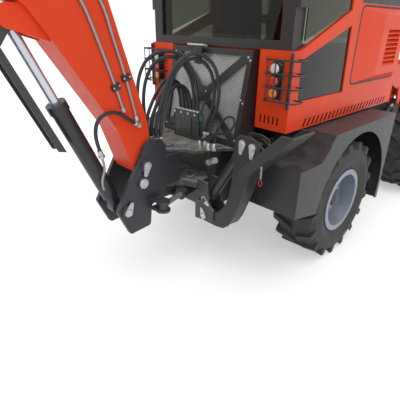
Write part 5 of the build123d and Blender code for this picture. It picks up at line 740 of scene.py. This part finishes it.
new_piece("valve_cover",
          pierced(at(-1003, 206, 1104), -left_way, up_way, ahead_way * -0.004, cover_width, cover_height,
                  cover_holes), dark_paint, "rear")
black_piece("valve_shadow", slab(at(-1001.5, 200, 1106), left_way * -0.29, up_way * 0.185, ahead_way * 0.001),
            smooth=False)
zinc_piece("valve_cover_bolts", [bolt_shape(at(-1007, y, 1306), -ahead_way, 0.0095) for y in cover_bolt_rows],
           "rear")
loom_line = smooth_line("loom_line", [at(*p) for p in loom_route])
black_piece("valve_loom", tube(loom_line, 0.009))
tape_green, tree, output = empty_material("tape_green")
crease = noise(tree, 90.0, 4.0)
tone = mixed_colour(tree, crease, (0.0, 0.16, 0.12), (0.01, 0.09, 0.07))
surface(tree, output, tone, scaled(tree, crease, 0.3, 0.7, 0.3, 0.5), ripple(tree, 0.4, 0.001, crease))
wrap = [(0.0125, 0.0), (0.0155, 0.002), (0.015, 0.009), (0.0165, 0.014), (0.0158, 0.024), (0.0165, 0.034),
        (0.0125, 0.036)]
new_piece("loom_tape", turned(at(-1000, -120, 1272), up_way, wrap, 20, 0.85), tape_green, "rear",
          smooth=True)

# The slots pressed through the cab's skirt and the pods, drawn as thin near-black plates in the
# steel: painted shade inside the slots.
skirt_slots, skirt_run, skirt_rear_x = 24, 1500, -553
pod_slots, pod_slot_pitch, pod_inner_y = 5, 38, 475
leaning = ((0.0, 0.0), (0.021, 0.0), (0.053, 0.060), (0.032, 0.060))


def plate_from(outline, heading_a, heading_b, centre, out_way, thick):
    """A flat plate from an outline of pairs, with its thickness along out_way."""
    ring = [centre + heading_a * a + heading_b * b for a, b in outline]
    count = len(ring)
    places = ring + [p + out_way * thick for p in ring]
    faces = [tuple(range(count)), tuple(range(count, 2 * count))]
    faces += [(k, (k + 1) % count, count + (k + 1) % count, count + k) for k in range(count)]
    return places, faces


# A near-black plate at each slot stands for the shade inside it: painted shade.
shade_plates = []
for n in range(skirt_slots):
    corner = at(skirt_rear_x + n * skirt_run / (skirt_slots - 1), -755.8, 1268)
    shade_plates.append(plate_from(leaning, ahead_way, up_way, corner, left_way, 0.004))
for outward in (-1, 1):
    for n in range(pod_slots):
        corner = at(-765, outward * (pod_inner_y + (n + 1.2) * pod_slot_pitch) - 7, 1300)
        shade_plates.append(slab(corner, ahead_way * 0.006, left_way * 0.014, up_way * 0.06))
slot_shade_black = painted("slot_shade_black", (0.006, 0.006, 0.006), dust=0.06, splash=0.0, wear=0.0, gloss=0.7,
                      shine=0.1)
new_piece("slot_shade_plates", joined(shade_plates), slot_shade_black, "rear")

# Pads on the pivot plates: ring-shaped wear pads round the king pin's bolts, and two lifting lugs.
pad_rows = [(0.018, 0.0), (0.044, 0.0), (0.046, 0.003), (0.046, 0.009), (0.043, 0.011), (0.020, 0.011),
            (0.018, 0.004)]
pads = [turned(at(*spot), up_way, pad_rows, 28)
        for spot in ((-1137, 47, 845), (-1136, -138, 845), (-1010, -330, 1100), (-1010, 330, 1100))]
new_piece("pivot_pads", joined(pads), deck_paint, "rear", smooth=True)

# Pin keepers: drop-shaped plates cut from zinc-plated steel, bolted beside each pin so that it
# can't turn or creep out.
cheek_y = 166
boss_rows = [(0.036, 0.0), (0.037, 0.003), (0.035, 0.006), (0.012, 0.0065), (0.010, 0.003)]


def keeper(name, pin, tail, out_way, body, size=0.034, reach=0.062, stand=1.0):
    """A keeper with the pin's end and its bolt, its tail pointing along tail."""
    tail, out_way = Vector(tail).normalized(), Vector(out_way).normalized()
    square = out_way.cross(tail)
    outline = [(-size * cos(a), size * sin(a)) for a in [radians(-75 + 15 * k) for k in range(11)]]
    small = size * 0.45
    outline += [(reach + small * cos(a), small * sin(a)) for a in [radians(75 - 15 * k) for k in range(11)]]
    thick = 0.007 * stand
    pin_rows = [(size * 0.72, 0.0), (size * 0.72, thick), (size * 0.62, 0.010 * stand)]
    zinc_piece(name, [
        plate_from(outline, tail, square, pin, out_way, thick),
        turned(pin + out_way * 0.006 * stand, out_way, pin_rows, 24),
        bolt_shape(pin + tail * reach + out_way * thick, out_way, size * 0.28 * stand)], body)


for hand, outward in hands:
    out = (0, outward, 0)
    keeper(f"keeper_boom_{hand}", at(-1577, outward * cheek_y, 1046), (-0.3, 0, -0.95), out, "post")
    keeper(f"keeper_foot_{hand}", at(-1760, outward * cheek_y, 742), (0.45, 0, 0.9), out, "post")
    zinc_piece(f"post_boss_{hand}", [turned(at(-1613, outward * cheek_y, 923), out, boss_rows, 28)], "post")
    for pin, x, y, z, body, tail, reach, stand in (
            ("leg", -1169, 333, 571, "rear", (0, outward * -0.35, 0.94), 0.056, 1.0),
            ("barrel", -1169, 337, 710, "rear", (0, outward * 0.75, -0.5), 0.05, 0.4),
            ("rod", -1152, 672, 1237, f"leg_{hand}", (0, outward * -0.15, -0.98), 0.062, 1.0),
            ("shoe", -1152, 759, 1230, f"leg_{hand}", (0, outward * -0.05, -0.98), 0.066, 1.0)):
        keeper(f"keeper_{pin}_{hand}", at(x, outward * y, z), tail, -ahead_way, body, 0.030, reach, stand)

# The stabilizer legs: two hooked plates cut from 14 mm steel with a web welded between them, so
# that the cylinder lies in the hollow side.
leg_reach, leg_rise = 0.426, 0.659
leg_plate = 0.014
leg_outline = ((-0.12, -0.06), (-0.05, -0.085), (0.30, -0.085), (0.46, -0.07), (0.58, -0.01), (0.68, 0.10),
               (0.80, 0.30), (0.92, 0.56), (1.02, 0.78), (1.12, 0.90), (1.15, 1.0), (1.10, 1.07), (0.96, 1.10),
               (0.74, 1.10), (0.66, 1.06), (0.64, 0.98), (0.635, 0.86), (0.63, 0.72), (0.61, 0.54),
               (0.565, 0.38), (0.49, 0.24), (0.37, 0.13), (0.22, 0.085), (0.04, 0.09), (-0.06, 0.085),
               (-0.12, 0.04))
leg_web = ((0.30, -0.075), (0.46, -0.06), (0.58, 0.0), (0.68, 0.11), (0.80, 0.31), (0.92, 0.57), (1.01, 0.77))
leg_pins = ((672, 1237), (759, 1230), (333, 571))
for hand, outward in hands:
    out = left_way * outward
    pivot = at(-1090, outward * 333, 571)
    outline = [(a * leg_reach, b * leg_rise) for a, b in leg_outline]
    shapes = [plate_from(outline, out, up_way, pivot + ahead_way * x, ahead_way, leg_plate)
              for x in (-0.062, 0.048)]
    web = [(a * leg_reach, b * leg_rise) for a, b in leg_web]
    inner = [(a - 0.010, b + 0.008) for a, b in web]
    shapes.append(plate_from(web + inner[::-1], out, up_way, pivot + ahead_way * -0.048, ahead_way, 0.096))
    for y, z in leg_pins:
        for x, radius, length, sides in ((-1154, 0.034, 0.016, 24), (-1042, 0.034, 0.016, 24),
                                         (-1150, 0.020, 0.12, 20)):
            rows = [(radius, 0.0), (radius, length)]
            shapes.append(turned(at(x, outward * y, z), ahead_way, rows, sides))
    leg = new_piece(f"leg_plates_{hand}", joined(shapes), dark_paint, f"leg_{hand}", edge=0.0015)
    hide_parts(f"stabilizer_leg_{hand}")

# Steel pipes along the boom's side, in welded clamps, that carry the oil out to the dipper.
pipe_radius, pipe_y, clamp_y = 0.0095, 124, 113
pipe_grey = painted("pipe_grey", (0.34, 0.35, 0.37), dust=0.3, wear=0.6, gloss=0.3, metal=0.5)
rear_pipe = ((-1711, 1444), (-1756, 1605), (-1860, 1903), (-1924, 2076), (-2050, 2236), (-2400, 2395),
             (-2820, 2575))
front_pipe = ((-1613, 1376), (-1677, 1659), (-1754, 1902), (-1794, 2062), (-1935, 2272), (-2310, 2440),
              (-2820, 2640))
clamp_rows = ((-1756, 1605, 0.33), (-1677, 1655, 0.25), (-2400, 2395, 2.3), (-2310, 2440, 2.3))
for label, run in (("rear", rear_pipe), ("front", front_pipe)):
    for hand, outward in hands:
        line = smooth_line(f"pipe_{label}_{hand}_line", [at(x, outward * pipe_y, z) for x, z in run], 8)
        new_piece(f"boom_pipe_{label}_{hand}", tube(line, pipe_radius), pipe_grey, "boom_arm",
                  smooth=True)
        nut = turned(line[0], line[1] - line[0], [(0.0165, 0.0), (0.0165, 0.03)], 6)
        zinc_piece(f"boom_pipe_nut_{label}_{hand}", [nut], "boom_arm")
clamp_shapes, clamp_bolts = [], []
for outward in (1, -1):
    for x, z, lean in clamp_rows:
        way = Vector((-lean, 0, 1)).normalized()
        square = Vector((way.z, 0, -way.x))
        corner = at(x, outward * clamp_y, z) - way * 0.02 - square * 0.03
        clamp_shapes.append(slab(corner, way * 0.04, square * 0.06, left_way * (outward * 0.024)))
        for offset in (-0.021, 0.021):
            spot = at(x, outward * (clamp_y + 24), z) + square * offset
            clamp_bolts.append(bolt_shape(spot, (0, outward, 0), 0.006))
new_piece("pipe_clamps", joined(clamp_shapes), seal_rubber, "boom_arm", edge=0.003)
zinc_piece("pipe_clamp_bolts", clamp_bolts, "boom_arm")

# Oil fittings beside the right stabilizer: a grey tee block with zinc elbows, and two short hoses
# that loop up in front of the guard and back to the deck.
fitting_width = 0.016
tee_rows = [(0.022, 0.0), (0.027, 0.006), (0.027, 0.05), (0.021, 0.056), (0.021, 0.075), (0.026, 0.08),
            (0.026, 0.11), (0.02, 0.116)]
tee = turned(at(-1085, -372, 1030), (0.1, 0.9, -0.45), tee_rows, 8)
new_piece("tee_block", tee, pipe_grey, "rear", smooth=True)
fitting_routes = (
    ("a", ((-1100, -300, 1104), (-1100, -303, 1180), (-1101, -330, 1290), (-1101, -372, 1345),
           (-1100, -410, 1330), (-1100, -415, 1270), (-1100, -330, 1200), (-1102, -240, 1170),
           (-1104, -214, 1150), (-1104, -212, 1104))),
    ("b", ((-1078, -340, 1104), (-1078, -344, 1180), (-1078, -378, 1290), (-1078, -450, 1372),
           (-1078, -520, 1385), (-1078, -538, 1330), (-1078, -470, 1250), (-1080, -300, 1215),
           (-1082, -252, 1180), (-1082, -250, 1104))),
)


def run_length(line):
    """The length of a line of points."""
    return sum((b - a).length for a, b in zip(line, line[1:]))


for label, points in fitting_routes:
    line = smooth_line(f"fitting_hose_{label}_line", [at(*p) for p in points], 8)
    hose = new_piece(f"fitting_hose_{label}", tube(line, fitting_width / 2), hose_rubber, "rear",
                     smooth=True)
    ends = [ferrule(f"ferrule_{label}_{k}", line[k], up_way, "rear") for k in (0, -1)]
    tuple(line[0])
    run_length(line)

# The boom cylinder's hose: it leaves the foot of the boom, arches out to the side and drops to a
# steel pipe that runs down the barrel.
side_width, barrel_pipe_radius = 0.024, 0.0085
side_points = ((-1600, -127, 1340), (-1680, -140, 1385), (-1764, -160, 1451), (-1850, -160, 1469),
               (-1930, -160, 1432), (-1954, -158, 1344), (-1932, -150, 1243), (-1914, -142, 1190))
drop_points = ((-1914, -142, 1190), (-1896, -128, 1130), (-1880, -104, 1075), (-1893, -80, 1010),
               (-1884, -60, 950), (-1868, -46, 912))
line = smooth_line("side_hose_line", [at(*p) for p in side_points], 8)
hose = new_piece("side_hose", tube(line, side_width / 2), hose_rubber, None, smooth=True)
ends = [ferrule("ferrule_side_a", line[0], line[1] - line[0], "boom_arm"),
        ferrule("ferrule_side_b", line[-1], line[-2] - line[-1], "boom_barrel_body")]
drop = smooth_line("barrel_pipe_line", [at(*p) for p in drop_points])
new_piece("barrel_pipe", tube(drop, barrel_pipe_radius), pipe_grey, "boom_barrel_body",
          smooth=True)
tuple(line[0])
run_length(line)
at(*side_points[-1])
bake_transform(hose)

# The linch pin of the stabilizer's foot: a zinc spring pin on a short chain with a red wire loop.
red_wire = painted("red_wire", (0.55, 0.02, 0.02), dust=0.2, wear=0.2, gloss=0.35)
link_count, link_pitch = 5, 0.014
pin_rows = [(0.006, 0.0), (0.0065, 0.002), (0.0065, 0.03), (0.010, 0.032), (0.010, 0.05), (0.007, 0.052)]


def loop_shape(centre, wide, tall, thick, way, steps=20):
    """A closed wire loop, wide along way and tall along z."""
    places, faces, sides = [], [], 8
    way = Vector(way).normalized()
    for k in range(steps):
        a = 2 * pi * k / steps
        radial = way * (cos(a) * wide) + up_way * (sin(a) * tall)
        for j in range(sides):
            b = 2 * pi * j / sides
            out = radial.normalized() * (cos(b) * thick) + way.cross(up_way) * (sin(b) * thick)
            places.append(centre + radial + out)
    for k in range(steps):
        for j in range(sides):
            n, m = (k + 1) % steps, (j + 1) % sides
            faces.append((k * sides + j, n * sides + j, n * sides + m, k * sides + m))
    return places, faces


for hand, outward in hands:
    hang = at(-1148, outward * 842, 1098)
    links = [loop_shape(hang + up_way * (-link_pitch * k), 0.0065, 0.0105, 0.0018,
                        ahead_way if k % 2 else left_way, 12) for k in range(link_count)]
    links.append(turned(hang + Vector((-0.004, 0, 0.012)), (0.2, 0.1, 0.97), pin_rows, 14))
    zinc_piece(f"linch_chain_{hand}", links, f"foot_{hand}")
    loop = loop_shape(hang + up_way * -0.092, 0.013, 0.024, 0.0028, (0, 1, 0.1))
    new_piece(f"linch_loop_{hand}", loop, red_wire, f"foot_{hand}", smooth=True)

# The seat: foam cushions in black cloth, with sewn channels and a piped edge, on a pedestal
# inside rubber bellows.
seat_x, seat_y, seat_underside = -15, 190, 1.640
bellows_folds, bellows_wide, bellows_narrow, bellows_drawn = 9, 0.115, 0.094, 0.33
channel_depth, channel_width = 0.22, 0.05
seat_cloth, tree, output = empty_material("seat_cloth")
place = own_place(tree)
warp = wire(tree, "ShaderNodeTexWave", {"Vector": place, "Scale": 190.0}, bands_direction="X").outputs["Fac"]
weft = wire(tree, "ShaderNodeTexWave", {"Vector": place, "Scale": 190.0}, bands_direction="Y").outputs["Fac"]
lint = noise(tree, 26.0, 4.0, place)
tone = mixed_colour(tree, scaled(tree, lint, 0.3, 0.75, 0.0, 0.7), (0.026, 0.026, 0.030),
                    (0.075, 0.073, 0.075))
surface(tree, output, tone, scaled(tree, lint, 0.3, 0.7, 0.75, 0.92),
        ripple(tree, 0.4, 0.0012, math(tree, "MULTIPLY", warp, weft)), {"Sheen Weight": 0.3})


def pillow(centre, half_a, half_b, thick, way_a, way_b, channels, crown):
    """A crowned cushion: two skins that meet at a piped edge, pulled in along its sewn channels."""
    count = 36
    out = way_a.cross(way_b).normalized()
    places, faces, index = [], [], {}
    for sign in (1, -1):
        for i in range(count + 1):
            for j in range(count + 1):
                u, v = 2 * i / count - 1, 2 * j / count - 1
                rim = (1 - u ** 8) * (1 - v ** 8)
                if rim <= 0 and (i, j, 1) in index:
                    index[(i, j, sign)] = index[(i, j, 1)]
                    continue
                full = rim ** 0.32
                lift = thick * full
                if sign == 1:
                    dip = sum(channel_depth * exp(-((v - c) / channel_width) ** 2) for c in channels)
                    lift = lift * (1 - dip) + crown * max(0.0, 1 - u * u) * max(0.0, 1 - v * v) * full
                round_u = u * (1 - 0.05 * v ** 4)
                round_v = v * (1 - 0.05 * u ** 4)
                index[(i, j, sign)] = len(places)
                flat = centre + way_a * (half_a * round_u) + way_b * (half_b * round_v)
                places.append(flat + out * (sign * lift))
    for sign in (1, -1):
        for i in range(count):
            for j in range(count):
                faces.append(tuple(index[(i + a, j + b, sign)] for a, b in ((0, 0), (1, 0), (1, 1), (0, 1))))
    return places, faces


lean = Vector((-0.08, 0, 1)).normalized()
cushion = pillow(at(-8, seat_y, 1696), 0.228, 0.236, 0.050, ahead_way, left_way, (-0.5, 0.0, 0.5), 0.012)
base_pad = new_piece("seat_cushion", cushion, seat_cloth, "rear", smooth=True)
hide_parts("seat")
backrest = pillow(at(-212, seat_y, 1972), 0.225, 0.232, 0.048, left_way, lean, (-0.45, 0.1, 0.6), 0.010)
back_pad = new_piece("seat_back", backrest, seat_cloth, "rear", smooth=True)
low_corner, high_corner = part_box("seat")
bellows_height = seat_underside - low_corner.z
folds = [(bellows_wide, 0.0)]
for k in range(bellows_folds):
    folds += [(bellows_wide, 0.008 + 0.036 * k), (bellows_narrow, 0.026 + 0.036 * k)]
folds = [(radius, along * bellows_height / bellows_drawn) for radius, along in folds]
folds.append((bellows_wide, bellows_height))
seat_floor = at(seat_x, seat_y, 1000 * low_corner.z)
black_piece("seat_bellows", turned(seat_floor, up_way, folds, 32))
new_piece("seat_pan", slab(at(-225, -20, 1636), ahead_way * 0.42, left_way * 0.42, up_way * 0.014),
          lamp_housing, "rear", edge=0.004)

# The engine cover's seal: a bead of black sponge rubber round the opening that the cover closes.
bead_y, bead_radius, bead_steps = -0.7535, 0.05, 7
bead_section = ((0.000, 0.004), (0.012, 0.004), (0.016, 0.000), (0.016, -0.008), (0.000, -0.010))
cover_low, cover_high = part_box("engine_cover")
front, rear = cover_high.x - bead_radius, cover_low.x + bead_radius
upper, lower = cover_high.z - bead_radius, cover_low.z + bead_radius
bead_places, bead_faces = [], []
for x, z, turn_from in ((front, upper, 0), (rear, upper, 90), (rear, lower, 180), (front, lower, 270)):
    for step in range(bead_steps):
        angle = radians(turn_from + 15 * step)
        for out_from, stand in bead_section:
            radius = bead_radius + out_from
            bead_places.append(Vector((x + cos(angle) * radius, bead_y - stand, z + sin(angle) * radius)))
count, around = len(bead_section), 4 * bead_steps
for r in range(around):
    for k in range(count):
        n, m = (r + 1) % around, (k + 1) % count
        bead_faces.append((r * count + k, r * count + m, n * count + m, n * count + k))
black_piece("cover_seal", (bead_places, bead_faces))

# The front frame: one weldment whose hood is sprayed orange and whose rails stay dark.
hood_bottom, hood_half_width = 1.004, 0.345
front_paint, tree, output = empty_material("front_paint")
place = own_place(tree)
split = wire(tree, "ShaderNodeSeparateXYZ", {0: place})
above = math(tree, "GREATER_THAN", split.outputs["Z"], hood_bottom)
beside = math(tree, "LESS_THAN", math(tree, "ABSOLUTE", split.outputs["Y"]), hood_half_width)
rails = worn_layer(tree, (0.040, 0.036, 0.035), dust=0.35, wear=0.35, gloss=0.34)
hood = worn_layer(tree, (0.86, 0.068, 0.014), dust=0.06, wear=0.35, gloss=0.34)
tone = mixed_colour(tree, math(tree, "MULTIPLY", above, beside), rails["Colour"], hood["Colour"])
surface(tree, output, tone, rails["Roughness"], ripple(tree, 0.1, 0.002, rails["Height"]))
dress(front_paint, "front_frame")
